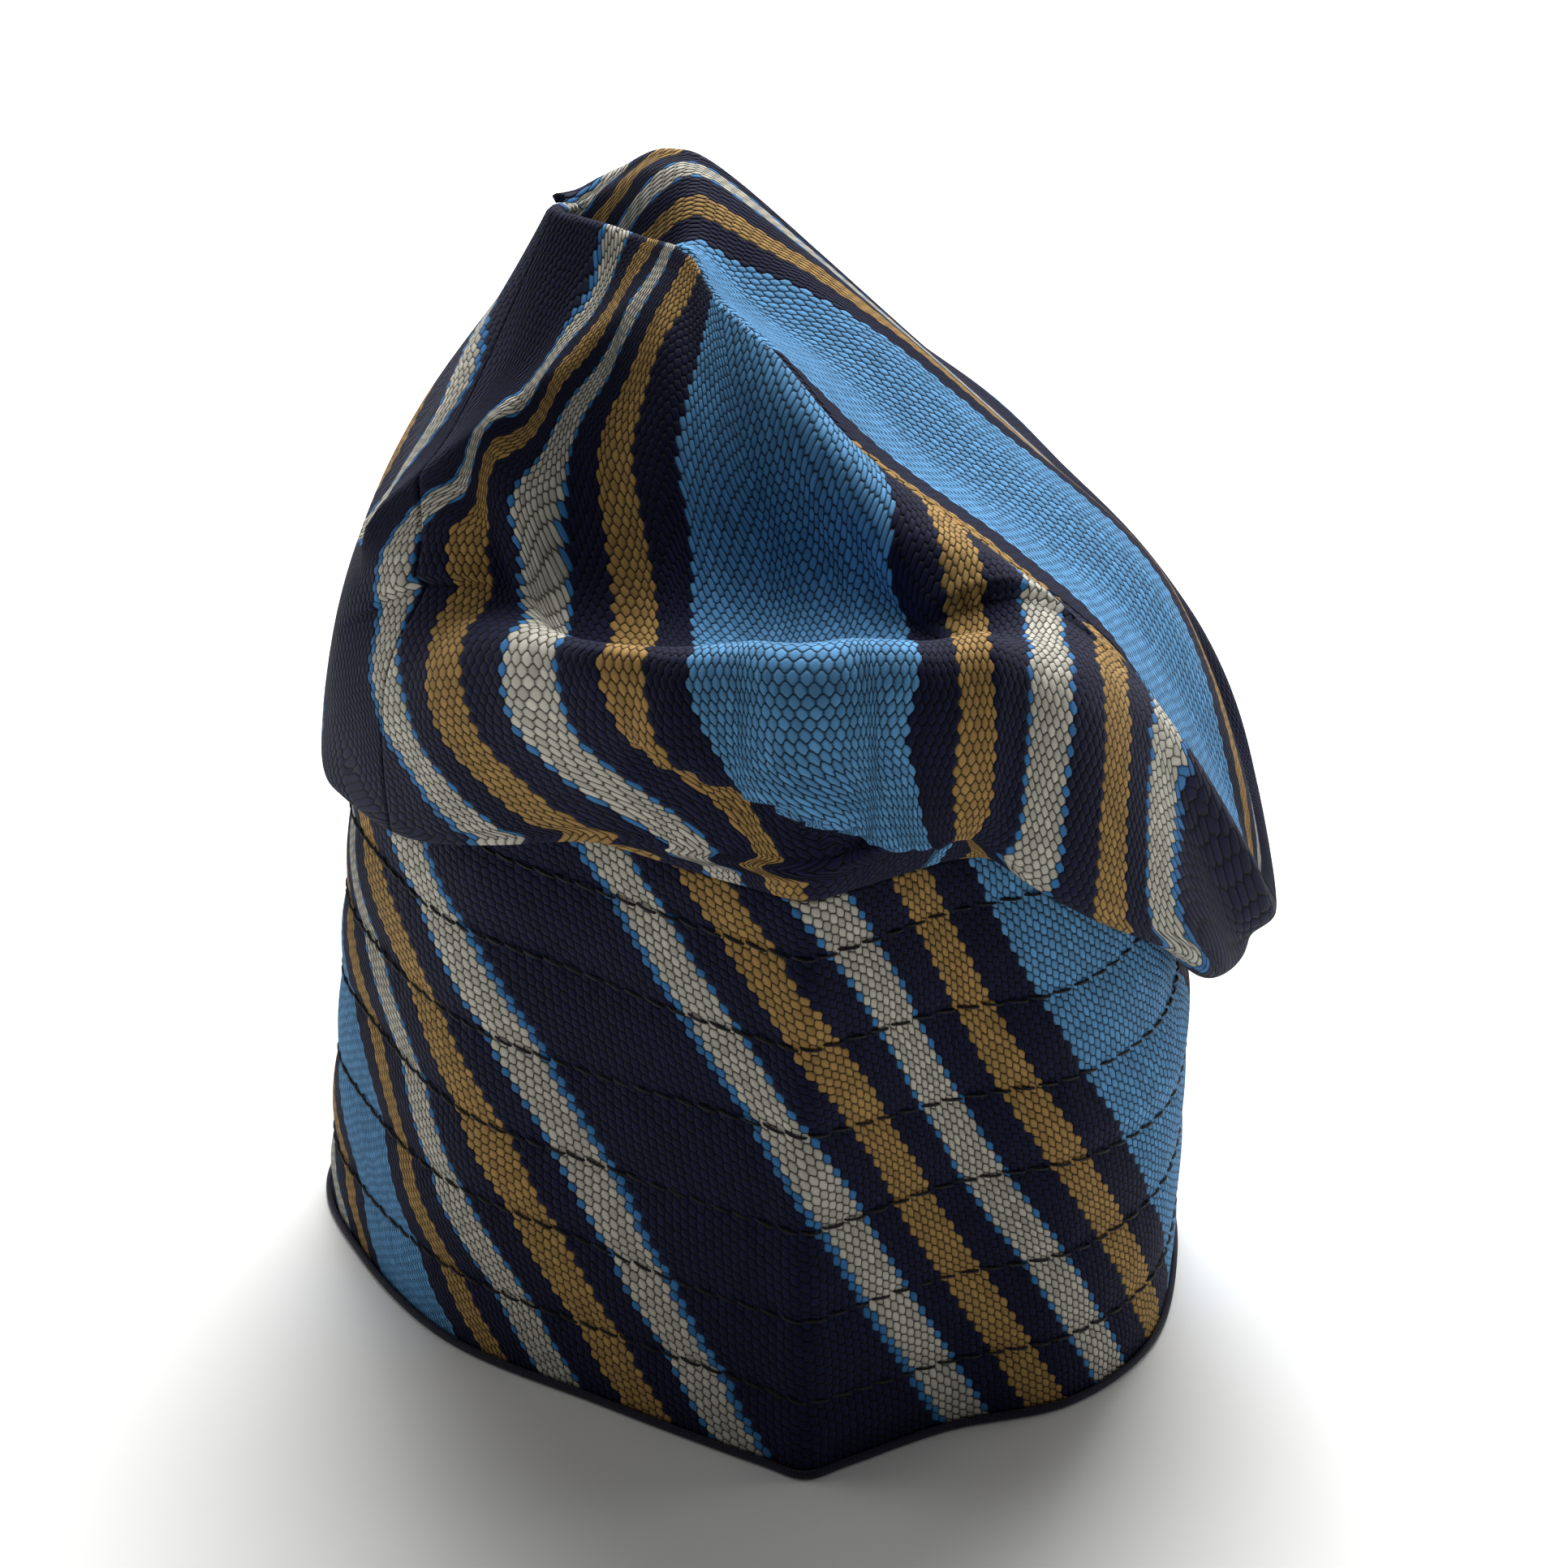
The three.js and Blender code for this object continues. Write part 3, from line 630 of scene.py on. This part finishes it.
def striped_cotton():
    """Hand-loomed warp-faced cotton: packed warp columns hide the weft.

    It gives the eye crisp stripes with scalloped edges, rows of small bead-like floats that
    shift by one column from row to row, painted shade in the gaps where a float dives under the
    weft, and a faint painted highlight along each float's middle.
    """
    colours = bpy.context.scene.cap_colours
    sizes = bpy.context.scene.cap_sizes
    material, tree = new_material("Warp_faced_striped_cotton")
    place, split = cloth_coordinates(tree)
    drift = node(tree, "TexNoise", {"Vector": place, "Scale": 0.09, "Detail": 1.0})
    sway = node(tree, "Math", {0: drift, 1: 0.5}, operation="SUBTRACT")
    across = node(tree, "Math", {0: sway, 1: 1.2, 2: split.outputs["X"]}, operation="MULTIPLY_ADD")
    u = node(tree, "Math", {0: across, 1: WARP_PITCH}, operation="DIVIDE")
    v_wave = node(tree, "Math", {0: sway, 1: 2.0, 2: split.outputs["Y"]}, operation="MULTIPLY_ADD")
    v = node(tree, "Math", {0: v_wave, 1: WEFT_PITCH}, operation="DIVIDE")

    # Floats show in rows, two columns wide; each row is shifted by one column from the last, and
    # its floats press a little between those of the next row.
    v_turn = node(tree, "Math", {0: v, 1: TAU}, operation="MULTIPLY")
    v_cos = node(tree, "Math", {0: v_turn}, operation="COSINE")
    u_turn = node(tree, "Math", {0: u, 1: math.pi}, operation="MULTIPLY")
    u_cos = node(tree, "Math", {0: u_turn}, operation="COSINE")
    push = node(tree, "Math", {0: v_cos, 1: u_cos}, operation="MULTIPLY")
    v_two = node(tree, "Math", {0: v, 1: 2.0}, operation="MULTIPLY")
    rows = node(tree, "Math", {0: push, 1: -0.22, 2: v_two}, operation="MULTIPLY_ADD")
    row_no = node(tree, "Math", {0: rows}, operation="FLOOR")
    y_share = node(tree, "Math", {0: rows}, operation="FRACT")
    y = node(tree, "Math", {0: y_share, 1: 0.5}, operation="SUBTRACT")
    odd = node(tree, "Math", {0: row_no, 1: 2.0}, operation="FLOORED_MODULO")
    u_odd = node(tree, "Math", {0: u, 1: odd}, operation="ADD")
    u_own = node(tree, "Math", {0: u_odd, 1: 0.5}, operation="MULTIPLY")
    float_no = node(tree, "Math", {0: u_own}, operation="FLOOR")
    x_share = node(tree, "Math", {0: u_own}, operation="FRACT")
    x = node(tree, "Math", {0: x_share, 1: 0.5}, operation="SUBTRACT")

    # The float's rounded height: an arch across the yarn and an arch along it.
    arches = []
    for offset, power in ((x, 2.6), (y, 3.0)):
        two = node(tree, "Math", {0: offset, 1: 2.0}, operation="MULTIPLY")
        size = node(tree, "Math", {0: two}, operation="ABSOLUTE")
        fall = node(tree, "Math", {0: size, 1: power}, operation="POWER")
        arches.append(node(tree, "Math", {0: 1.0, 1: fall}, operation="SUBTRACT"))
    x_arch, y_arch = arches
    arch_both = node(tree, "Math", {0: x_arch, 1: y_arch}, operation="MULTIPLY")
    arch = node(tree, "Math", {0: arch_both, 1: 0.6}, operation="POWER")

    # The colour of the float that this point belongs to.
    float_two = node(tree, "Math", {0: float_no, 1: 2.0, 2: 1.0}, operation="MULTIPLY_ADD")
    centre = node(tree, "Math", {0: float_two, 1: odd}, operation="SUBTRACT")
    centre_mm = node(tree, "Math", {0: centre, 1: WARP_PITCH}, operation="MULTIPLY")
    folded = node(tree, "Math", {0: centre_mm, 1: STRIP_WIDTH / 2}, operation="PINGPONG")
    share = node(tree, "Math", {0: folded, 1: STRIP_WIDTH / 2}, operation="DIVIDE")
    navy, white, gold, sky, edge = (
        tuple(getattr(colours, name)) + (1,) for name in ("navy", "white", "gold", "sky", "edge")
    )
    order = (
        (0, navy), (14.0, edge), (15.0, white), (22.6, edge), (23.6, navy), (30, gold),
        (38, navy), (45.0, edge), (46, white), (54.0, edge), (54.6, navy), (63, gold),
        (71, navy), (80, sky),
    )
    ramp = node(tree, "ValToRGB", {0: share})
    ramp.color_ramp.interpolation = "CONSTANT"
    stops = ramp.color_ramp.elements
    stops[0].position, stops[0].color = 0, navy
    stops[1].position, stops[1].color = order[-1][0] / (STRIP_WIDTH / 2), sky
    for position, colour in order[1:-1]:
        made = stops.new(position / (STRIP_WIDTH / 2))
        made.color = colour

    # Hand-spun yarn and uneven dye: each column and each float has its own tone.
    own = node(tree, "CombineXYZ", {0: centre, 1: row_no})
    tone_float = node(tree, "TexWhiteNoise", {"Vector": own}, noise_dimensions="2D")
    tone_column = node(tree, "TexWhiteNoise", {"W": centre}, noise_dimensions="1D")
    fade = node(tree, "TexNoise", {"Vector": place, "Scale": 0.03, "Detail": 3.0})
    tone_a = node(tree, "MapRange", {"Value": tone_float, "To Min": 0.84, "To Max": 1.16})
    tone_b = node(tree, "MapRange", {"Value": tone_column, "To Min": 0.93, "To Max": 1.07})
    tone_c = node(
        tree, "MapRange",
        {"Value": fade, "From Min": 0.3, "From Max": 0.7,
         "To Min": 0.93, "To Max": 1.07},
    )
    tone_ab = node(tree, "Math", {0: tone_a, 1: tone_b}, operation="MULTIPLY")
    tone = node(tree, "Math", {0: tone_ab, 1: tone_c}, operation="MULTIPLY")
    # Painted shade: the slit at a float's end is painted dark and the valley between two columns
    # dim, and a faint painted highlight lightens the middle of each float.
    end_shade = node(
        tree, "MapRange",
        {"Value": y_arch, "From Min": 0.05, "From Max": 0.85,
         "To Min": sizes.slit_shade, "To Max": 1.0},
        interpolation_type="SMOOTHSTEP",
    )
    side_shade = node(
        tree, "MapRange",
        {"Value": x_arch, "From Min": 0.0, "From Max": 0.75,
         "To Min": 0.3, "To Max": 1.08},
    )
    shade = node(tree, "Math", {0: end_shade, 1: side_shade}, operation="MULTIPLY")
    light = node(tree, "Math", {0: tone, 1: shade}, operation="MULTIPLY")
    colour = node(tree, "VectorMath", {0: ramp, 3: light}, operation="SCALE")
    # Plied yarn: fine fibres that run aslant along each float.
    fibre_place = node(tree, "CombineXYZ", {0: u, 1: v})
    fibre = node(tree, "TexNoise", {"Vector": fibre_place, "Scale": 3.0, "Detail": 2.0})
    height = node(tree, "Math", {0: fibre, 1: 0.12, 2: arch}, operation="MULTIPLY_ADD")
    bump = node(tree, "Bump", {"Height": height, "Distance": sizes.weave_relief, "Strength": 1.0})
    return finish_material(material, {
        "Base Color": colour, "Normal": bump, "Roughness": 0.82, "Specular IOR Level": 0.12,
        "Sheen Weight": 0.02, "Sheen Roughness": 0.5,
    })


def plied_thread(name, colour):
    """Plied cotton sewing thread, waxed: near black, with a faint shine, and a painted highlight on
    each twisted ply with painted shade between the plies.
    """
    material, tree = new_material(name)
    place, split = cloth_coordinates(tree)
    # One turn of the ply in 1.6 mm; three plies.
    twist = node(
        tree, "Math",
        {0: split.outputs["X"], 1: 0.625, 2: split.outputs["Y"]}, operation="MULTIPLY_ADD",
    )
    plies = node(tree, "Math", {0: twist, 1: TAU * 3}, operation="MULTIPLY")
    wave = node(tree, "Math", {0: plies}, operation="SINE")
    # Painted highlight and shade: each ply is painted lighter along its crown and darker in the
    # groove beside it.
    tone = node(
        tree, "MapRange",
        {"Value": wave, "From Min": -1.0, "From Max": 1.0,
         "To Min": 0.55, "To Max": 1.25},
    )
    shaded = node(tree, "VectorMath", {0: tuple(colour), 3: tone}, operation="SCALE")
    bump = node(tree, "Bump", {"Height": wave, "Distance": 0.00012, "Strength": 1.0})
    return finish_material(material, {
        "Base Color": shaded, "Normal": bump, "Roughness": 0.6, "Specular IOR Level": 0.4,
    })


def plain_weave(name, colour, pitch, depth, roughness):
    """Plain-woven cotton: a fine even check of crossing yarns, drawn at its thread spacing, with
    painted shade where the yarns dip.
    """
    material, tree = new_material(name)
    place, split = cloth_coordinates(tree)
    turn = math.pi / pitch
    a = node(tree, "Math", {0: split.outputs["X"], 1: turn}, operation="MULTIPLY")
    b = node(tree, "Math", {0: split.outputs["Y"], 1: turn}, operation="MULTIPLY")
    a_sin = node(tree, "Math", {0: a}, operation="SINE")
    b_sin = node(tree, "Math", {0: b}, operation="SINE")
    check = node(tree, "Math", {0: a_sin, 1: b_sin}, operation="MULTIPLY")
    height = node(tree, "Math", {0: check}, operation="ABSOLUTE")
    worn = node(tree, "TexNoise", {"Vector": place, "Scale": 0.06, "Detail": 4.0})
    tone = node(
        tree, "MapRange",
        {"Value": worn, "From Min": 0.3, "From Max": 0.7,
         "To Min": 0.8, "To Max": 1.15},
    )
    # Painted shade: the colour is darker where the yarns dip between their crossings.
    slit = node(
        tree, "MapRange",
        {"Value": height, "From Min": 0.0, "From Max": 0.5,
         "To Min": 0.6, "To Max": 1.0},
    )
    light = node(tree, "Math", {0: tone, 1: slit}, operation="MULTIPLY")
    shaded = node(tree, "VectorMath", {0: tuple(colour), 3: light}, operation="SCALE")
    bump = node(tree, "Bump", {"Height": height, "Distance": depth, "Strength": 1.0})
    return finish_material(material, {
        "Base Color": shaded, "Normal": bump, "Roughness": roughness, "Specular IOR Level": 0.3,
        "Sheen Weight": 0.1,
    })


def matt_board():
    """Matt white board for the floor: it gives only a soft shadow and no reflection."""
    material, tree = new_material("Matt_painted_board")
    return finish_material(material, {
        "Base Color": linear("#f4f4f2") + (1,), "Roughness": 0.9, "Specular IOR Level": 0.1,
    })


def cloth_material():
    return bpy.data.materials.get("Warp_faced_striped_cotton") or striped_cotton()


def thread_material():
    colours = bpy.context.scene.cap_colours
    return bpy.data.materials.get("Waxed_cotton_thread") or plied_thread(
        "Waxed_cotton_thread", colours.thread
    )


# ---- what a user may change ----


def size_property(name, description, default, low, high, **kind):
    return bpy.props.FloatProperty(
        name=name, description=description, default=default, min=low, max=high, **kind
    )


def colour_property(name, description, code):
    return bpy.props.FloatVectorProperty(
        name=name, description=description, default=linear(code), subtype="COLOR", min=0, max=1
    )


class CapSizes(bpy.types.PropertyGroup):
    cloth_thickness: size_property(
        "Cloth thickness", "Thickness of the woven strip cloth",
        CLOTH * MM, 0.0005, 0.003, unit="LENGTH",
    )
    quilt_puff: size_property(
        "Quilt puff", "How far the band swells between two rows of thread",
        1.0 * MM, 0.0, 0.002, unit="LENGTH",
    )
    wrinkle: size_property(
        "Crown unevenness", "Height of the gentle unevenness of the crown's cloth",
        0.5 * MM, 0.0, 0.003, unit="LENGTH",
    )
    stitch_length: size_property(
        "Stitch length", "Length of one quilting stitch",
        4.6 * MM, 0.002, 0.01, unit="LENGTH",
    )
    thread_width: size_property(
        "Thread width", "Diameter of the quilting thread",
        0.62 * MM, 0.0003, 0.002, unit="LENGTH",
    )
    weave_relief: size_property(
        "Weave relief", "Height of one float of the warp over the slits",
        0.48 * MM, 0.0, 0.001, unit="LENGTH",
    )
    # How dark the painted shade in the slits between the floats is.
    slit_shade: size_property(
        "Slit shade", "Brightness of the slits between the floats",
        0.12, 0.0, 1.0, subtype="FACTOR",
    )


class CapColours(bpy.types.PropertyGroup):
    navy: colour_property("Navy", "Ground colour of the cloth", "#101430")
    white: colour_property("Greyed white", "Colour of the white stripes", "#b0ada1")
    gold: colour_property("Gold", "Colour of the gold stripes", "#987947")
    sky: colour_property("Sky blue", "Colour of the wide blue stripe", "#558bb8")
    edge: colour_property(
        "Edge blue", "Colour of the single columns beside the white stripes", "#336a9e"
    )
    thread: colour_property("Thread", "Colour of the sewing thread", "#0b0b10")
    lining: colour_property("Lining", "Colour of the lining and the hem tape", "#16182c")
    canvas: colour_property("Canvas", "Colour of the stiffening canvas", "#c9bd9e")


# ---- the pieces ----


class CAP_OT_band(bpy.types.Operator):
    """Makes the band: quilted striped cloth over canvas and a lining"""

    bl_idname = "cap.band"
    bl_label = "Make the band"

    def execute(self, context):
        sizes, colours = context.scene.cap_sizes, context.scene.cap_colours
        puff = sizes.quilt_puff / MM
        share = np.linspace(0.0003, 0.9997, 521)
        height = np.linspace(HEM_FLOOR, BAND_HEIGHT, 125)
        places = band_cloth_place(share, height)
        cloth = cloth_piece(
            "band_cloth", band_layer(share, height, 0, puff), places,
            sizes.cloth_thickness / MM, cloth_material(), offset=-1,
        )
        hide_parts("band_shell")
        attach(cloth, "cap")

        share = np.linspace(0.00002, 0.99998, 361)
        height = np.linspace(HEM_FLOOR, BAND_HEIGHT, 63)
        flat = np.stack(
            [np.broadcast_to(HEAD_GIRTH * share[None, :], (63, 361)),
             np.broadcast_to(height[:, None], (63, 361))], -1,
        )
        layers = (
            ("band_canvas", CLOTH + GAP, 0.4, CANVAS, "band_stiffener", "canvas",
             ("Starched_canvas", colours.canvas, 1.0, 0.0002, 0.9)),
            ("band_inner_lining", CLOTH + CANVAS + 2 * GAP, -0.5, LINING, "band_lining", "lining",
             ("Plain_woven_cotton_lining", colours.lining, 0.7, 0.0001, 0.85)),
        )
        for name, depth, swell, thickness, cad_node, slot, weave in layers:
            layer = cloth_piece(
                name, band_layer(share, height, depth, swell * puff), flat, thickness,
                plain_weave(*weave), offset=-1,
            )
            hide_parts(cad_node)
            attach(layer, "cap")
        return {"FINISHED"}


class CAP_OT_quilting(bpy.types.Operator):
    """Sews the rows of black thread round the band"""

    bl_idname = "cap.quilting"
    bl_label = "Sew the quilting rows"

    def execute(self, context):
        sizes = context.scene.cap_sizes
        puff, width = sizes.quilt_puff / MM, sizes.thread_width / MM
        for row in range(QUILT_ROWS):
            share = np.linspace(0.001, 0.999, 2400)
            level = quilt_row_height(row, share)
            path = band_point(share, level, -0.3 * puff + width * 0.42)
            out = unit(path - band_point(share, level, -5.0))
            stitches = stitch_piece(
                f"quilting_{row + 1}", path, out, sizes.stitch_length / MM, 0.12, width,
                thread_material(), slant=0.35,
            )
            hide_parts(f"quilt_row_{row + 1}")
            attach(stitches, "cap")
        return {"FINISHED"}


class CAP_OT_hem(bpy.types.Operator):
    """Binds the lower edge of the band with a folded near-black tape, whose dark colour is also
    painted shade along the band's turned lower edge
    """

    bl_idname = "cap.hem"
    bl_label = "Bind the hem"

    def execute(self, context):
        colours = context.scene.cap_colours
        share = np.linspace(0, 1, 421)[:-1]
        outer, inner = GAP + HEM_THICKNESS, -STACK - GAP - HEM_THICKNESS
        # (out, height) of the tape's section, from its outer edge under the hem to its inner edge.
        turn = np.radians(np.linspace(0, 90, 6))
        section = [(GAP, 1.9), (GAP + 0.45, 2.2), (outer, 1.9)]
        section += [(outer - 1.1 + 1.1 * math.cos(t), 1.1 - 1.1 * math.sin(t)) for t in turn]
        section += [(inner + 1.1 - 1.1 * math.sin(t), 1.1 - 1.1 * math.cos(t)) for t in turn]
        section += [(inner, HEM_HEIGHT - 0.4), (-STACK - GAP - 0.45, HEM_HEIGHT)]
        section += [(-STACK - GAP, HEM_HEIGHT - 0.3), (-STACK - GAP, HEM_FLOOR), (GAP, HEM_FLOOR)]
        section = np.array(section)
        sag = 0.25 * unevenness(HEAD_GIRTH * share * 1.9, 0 * share)
        rings = band_point(
            share[:, None], section[None, :, 1] + 0 * share[:, None],
            section[None, :, 0] + np.where(section[None, :, 0] > 0, 1, -1) * 0.12 * sag[:, None],
        )
        length = run_along(section)
        values = np.stack(np.broadcast_arrays(HEAD_GIRTH * share[:, None], length[None, :]), -1)
        # The tape is near black: a binding, and also painted shade along the band's turned lower
        # edge.
        tape = tube_piece(
            "hem_binding", rings,
            plain_weave("Cotton_hem_tape_dark_as_edge_shade", colours.lining, 0.6, 0.00012, 0.8), values,
        )
        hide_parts("hem_tape")
        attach(tape, "cap")
        return {"FINISHED"}


def bend_over_fold(piece):
    """Bakes the placing of a piece that crosses the fold into its mesh, and leaves it on no body.
    """
    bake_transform(piece)


class CAP_OT_crown(bpy.types.Operator):
    """Makes the crown's wall from its three strips of cloth"""

    bl_idname = "cap.crown"
    bl_label = "Make the crown's wall"

    def execute(self, context):
        sizes = context.scene.cap_sizes
        wrinkle = sizes.wrinkle / MM
        slit = 0.3 / HEAD_GIRTH
        strips = (
            ("crown_left_cloth", 0.0, LEFT_SEAM, False, ("crown_left_strip",)),
            ("crown_front_cloth", LEFT_SEAM, TIP_SEAM, True,
             ("crown_front_strip", "flap_front_strip")),
            ("crown_right_cloth", TIP_SEAM, 1.0, True,
             ("crown_right_strip", "flap_right_strip")),
        )
        # More rows where the profile is long.
        stretches = (5, 4, 4, 4, 8, 8, 16, 40, 36)
        up = np.concatenate([
            (k + np.arange(n) / n) / len(stretches) for k, n in enumerate(stretches)
        ] + [[1.0]])
        for name, low, high, crosses, nodes in strips:
            share = np.linspace(low + slit, high - slit, int((high - low) * 400) + 1)
            points = crown_layer(share, up, wrinkle)
            # The wall's edge is rolled in just below the ridge.
            over = np.linalg.norm(points[-1] - points[-2], axis=-1, keepdims=True)
            points[-1] = points[-1] - unit(points[-1] - points[-2]) * np.minimum(1.5, 0.6 * over)
            points = with_rolled_edge(points, 1.2)
            rows = np.concatenate([up, np.full(len(points) - len(up), 1.0)])
            piece = cloth_piece(
                name, points, crown_cloth_place(points, share, rows),
                sizes.cloth_thickness / MM, cloth_material(),
            )
            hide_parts(*nodes)
            if crosses:
                bend_over_fold(piece)
            else:
                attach(piece, "cap")
        return {"FINISHED"}


class CAP_OT_top(bpy.types.Operator):
    """Makes the strip of cloth on the crown's top"""

    bl_idname = "cap.top"
    bl_label = "Make the top strip"

    def execute(self, context):
        sizes = context.scene.cap_sizes
        along, across = np.linspace(0, 1, 161), np.linspace(0, 1, 49)
        points = top_surface(along, across)
        # The two long edges roll down into the seams.
        rear = with_rolled_edge(points, 1.4)
        rolled = with_rolled_edge(rear[::-1, ::-1], 1.4)[::-1, ::-1]
        piece = cloth_piece(
            "top_cloth", rolled, top_cloth_place(rolled, along),
            sizes.cloth_thickness / MM, cloth_material(),
        )
        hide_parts("crown_top_strip", "flap_top_strip")
        bend_over_fold(piece)
        return {"FINISHED"}


class CAP_OT_seams(bpy.types.Operator):
    """Sews the crown's seams"""

    bl_idname = "cap.seams"
    bl_label = "Sew the crown's seams"

    def execute(self, context):
        ridges = (
            ("ridge_seam_front", LEFT_END + 0.01, TIP_END - 0.012,
             ("crown_ridge_seam_front", "flap_ridge_seam_front")),
            ("ridge_seam_rear", LEFT_END - 0.012, TIP_END - 1 + 0.012,
             ("crown_ridge_seam_rear", "flap_ridge_seam_rear")),
        )
        for name, start, end, nodes in ridges:
            path = ridge_at(np.linspace(start, end, 500))
            path[:, 2] -= 1.6
            out = np.broadcast_to(np.array([0.0, 0.0, 1.0]), path.shape)
            piece = stitch_piece(name, path, out, 3.2, 0.3, 1.1, thread_material())
            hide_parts(*nodes)
            bend_over_fold(piece)
        seams = (
            ("strip_seam_left", LEFT_SEAM, 0.8, 0.96, "crown_seam_left", "cap"),
            ("strip_seam_rear", 1.0, 0.8, 0.96, "crown_seam_rear", "cap"),
            ("strip_seam_tip", TIP_SEAM, 0.72, 0.85, "flap_seam_tip", "flap"),
        )
        for name, share, low, high, cad_node, body in seams:
            up = np.linspace(low, high, 200)
            grid = crown_layer(
                np.array([share - 1e-3, share, share + 1e-3]), up,
                context.scene.cap_sizes.wrinkle,
            )
            out = -grid_normals(grid)[:, 1]
            path = grid[:, 1] + out * (CLOTH / 2 + 0.3)
            piece = stitch_piece(name, path, out, 3.4, 0.4, 0.7, thread_material(), slant=0.4)
            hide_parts(cad_node)
            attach(piece, body)
        share = np.linspace(0.002, 0.998, 1800)
        inside = -STACK - 4 * GAP - CLOTH
        path = band_point(share, BAND_HEIGHT - TUCK / 2, inside)
        out = unit(band_point(share, BAND_HEIGHT - TUCK / 2, inside - 3) - path)
        piece = stitch_piece("join_seam", path, out, 4.5, 0.8, 0.8, thread_material(), slant=0.5)
        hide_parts("crown_join_seam")
        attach(piece, "cap")
        return {"FINISHED"}


SENSOR = 36.0
CAMERA_LENS = SENSOR * 3939 / 1932
CAMERA_AIM, CAMERA_TILT, CAMERA_DISTANCE = 100.0, 26.0, 0.65  # millimetres, degrees, metres


class CAP_OT_stage(bpy.types.Operator):
    """Sets the floor, the soft lights and the camera"""

    bl_idname = "cap.stage"
    bl_label = "Set the stage"

    def execute(self, context):
        scene = context.scene
        mesh = bpy.data.meshes.new("floor")
        mesh.from_pydata([(-6, -6, 0), (6, -6, 0), (6, 10, 0), (-6, 10, 0)], [], [(0, 1, 2, 3)])
        mesh.materials.append(matt_board())
        floor = bpy.data.objects.new("floor", mesh)
        scene.collection.objects.link(floor)

        lamps = (
            ("overhead_lamp", (0.1, 0.85, 1.2), 1.1, 46.0),
            ("left_lamp", (-1.3, 0.3, 0.8), 1.0, 4.0),
            ("right_lamp", (1.3, 0.4, 0.7), 1.0, 4.0),
        )
        for name, place, size, power in lamps:
            light = bpy.data.lights.new(name, "AREA")
            light.size = size
            light.energy = power
            lamp = bpy.data.objects.new(name, light)
            scene.collection.objects.link(lamp)
            lamp.location = place
            aim = Vector((0, 0, 0.1)) - lamp.location
            lamp.rotation_euler = aim.to_track_quat("-Z", "Y").to_euler()

        world = scene.world or bpy.data.worlds.new("Soft_white_room")
        scene.world = world
        world.use_nodes = True
        tree = world.node_tree
        tree.nodes.clear()
        sky = node(tree, "Background", {"Color": (1, 1, 1, 1), "Strength": 0.1})
        node(tree, "OutputWorld", {"Surface": sky})
        scene.view_settings.view_transform = "Standard"

        camera = bpy.data.objects.new("camera", bpy.data.cameras.new("camera"))
        scene.collection.objects.link(camera)
        camera.data.sensor_width = SENSOR
        camera.data.lens = CAMERA_LENS
        camera.data.clip_start, camera.data.clip_end = 0.01, 30
        target = Vector(to_metres((0, 0, CAMERA_AIM)))
        tilt = math.radians(CAMERA_TILT)
        camera.location = target + Vector((0, -math.cos(tilt), math.sin(tilt))) * CAMERA_DISTANCE
        camera.rotation_euler = (target - camera.location).to_track_quat("-Z", "Y").to_euler()
        scene.camera = camera
        return {"FINISHED"}


STEPS = (
    CAP_OT_band, CAP_OT_quilting, CAP_OT_hem, CAP_OT_crown, CAP_OT_top, CAP_OT_seams, CAP_OT_stage,
)


class CAP_PT_panel(bpy.types.Panel):
    bl_idname = "CAP_PT_panel"
    bl_label = "Strip-cloth cap"
    bl_space_type = "VIEW_3D"
    bl_region_type = "UI"
    bl_category = "Cap"

    def draw(self, context):
        for group in (context.scene.cap_sizes, context.scene.cap_colours):
            box = self.layout.box()
            for name in group.__annotations__:
                box.prop(group, name)
        for step in STEPS:
            self.layout.operator(step.bl_idname)


CLASSES = (CapSizes, CapColours) + STEPS + (CAP_PT_panel,)


def register():
    for cls in CLASSES:
        bpy.utils.register_class(cls)
    bpy.types.Scene.cap_sizes = bpy.props.PointerProperty(type=CapSizes)
    bpy.types.Scene.cap_colours = bpy.props.PointerProperty(type=CapColours)


def unregister():
    del bpy.types.Scene.cap_colours
    del bpy.types.Scene.cap_sizes
    for cls in reversed(CLASSES):
        bpy.utils.unregister_class(cls)


def place_of_model():
    """Millimetres from the outline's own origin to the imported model's, by the band's middle."""
    low, high = (np.array(corner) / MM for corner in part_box("band_shell"))
    around = band_point(
        np.linspace(0, 1, 721)[None, :], np.linspace(HEM_FLOOR, BAND_HEIGHT, 33)[:, None], 0.0
    ).reshape(-1, 3)
    middle = (around.min(0) + around.max(0)) / 2
    shift = (low + high) / 2 - middle
    shift[2] = 0
    return shift


SHIFT = place_of_model()


def main():
    register()
    for step in (
        bpy.ops.cap.band, bpy.ops.cap.quilting, bpy.ops.cap.hem, bpy.ops.cap.crown,
        bpy.ops.cap.top, bpy.ops.cap.seams, bpy.ops.cap.stage,
    ):
        step()


if __name__ == "__main__":
    main()
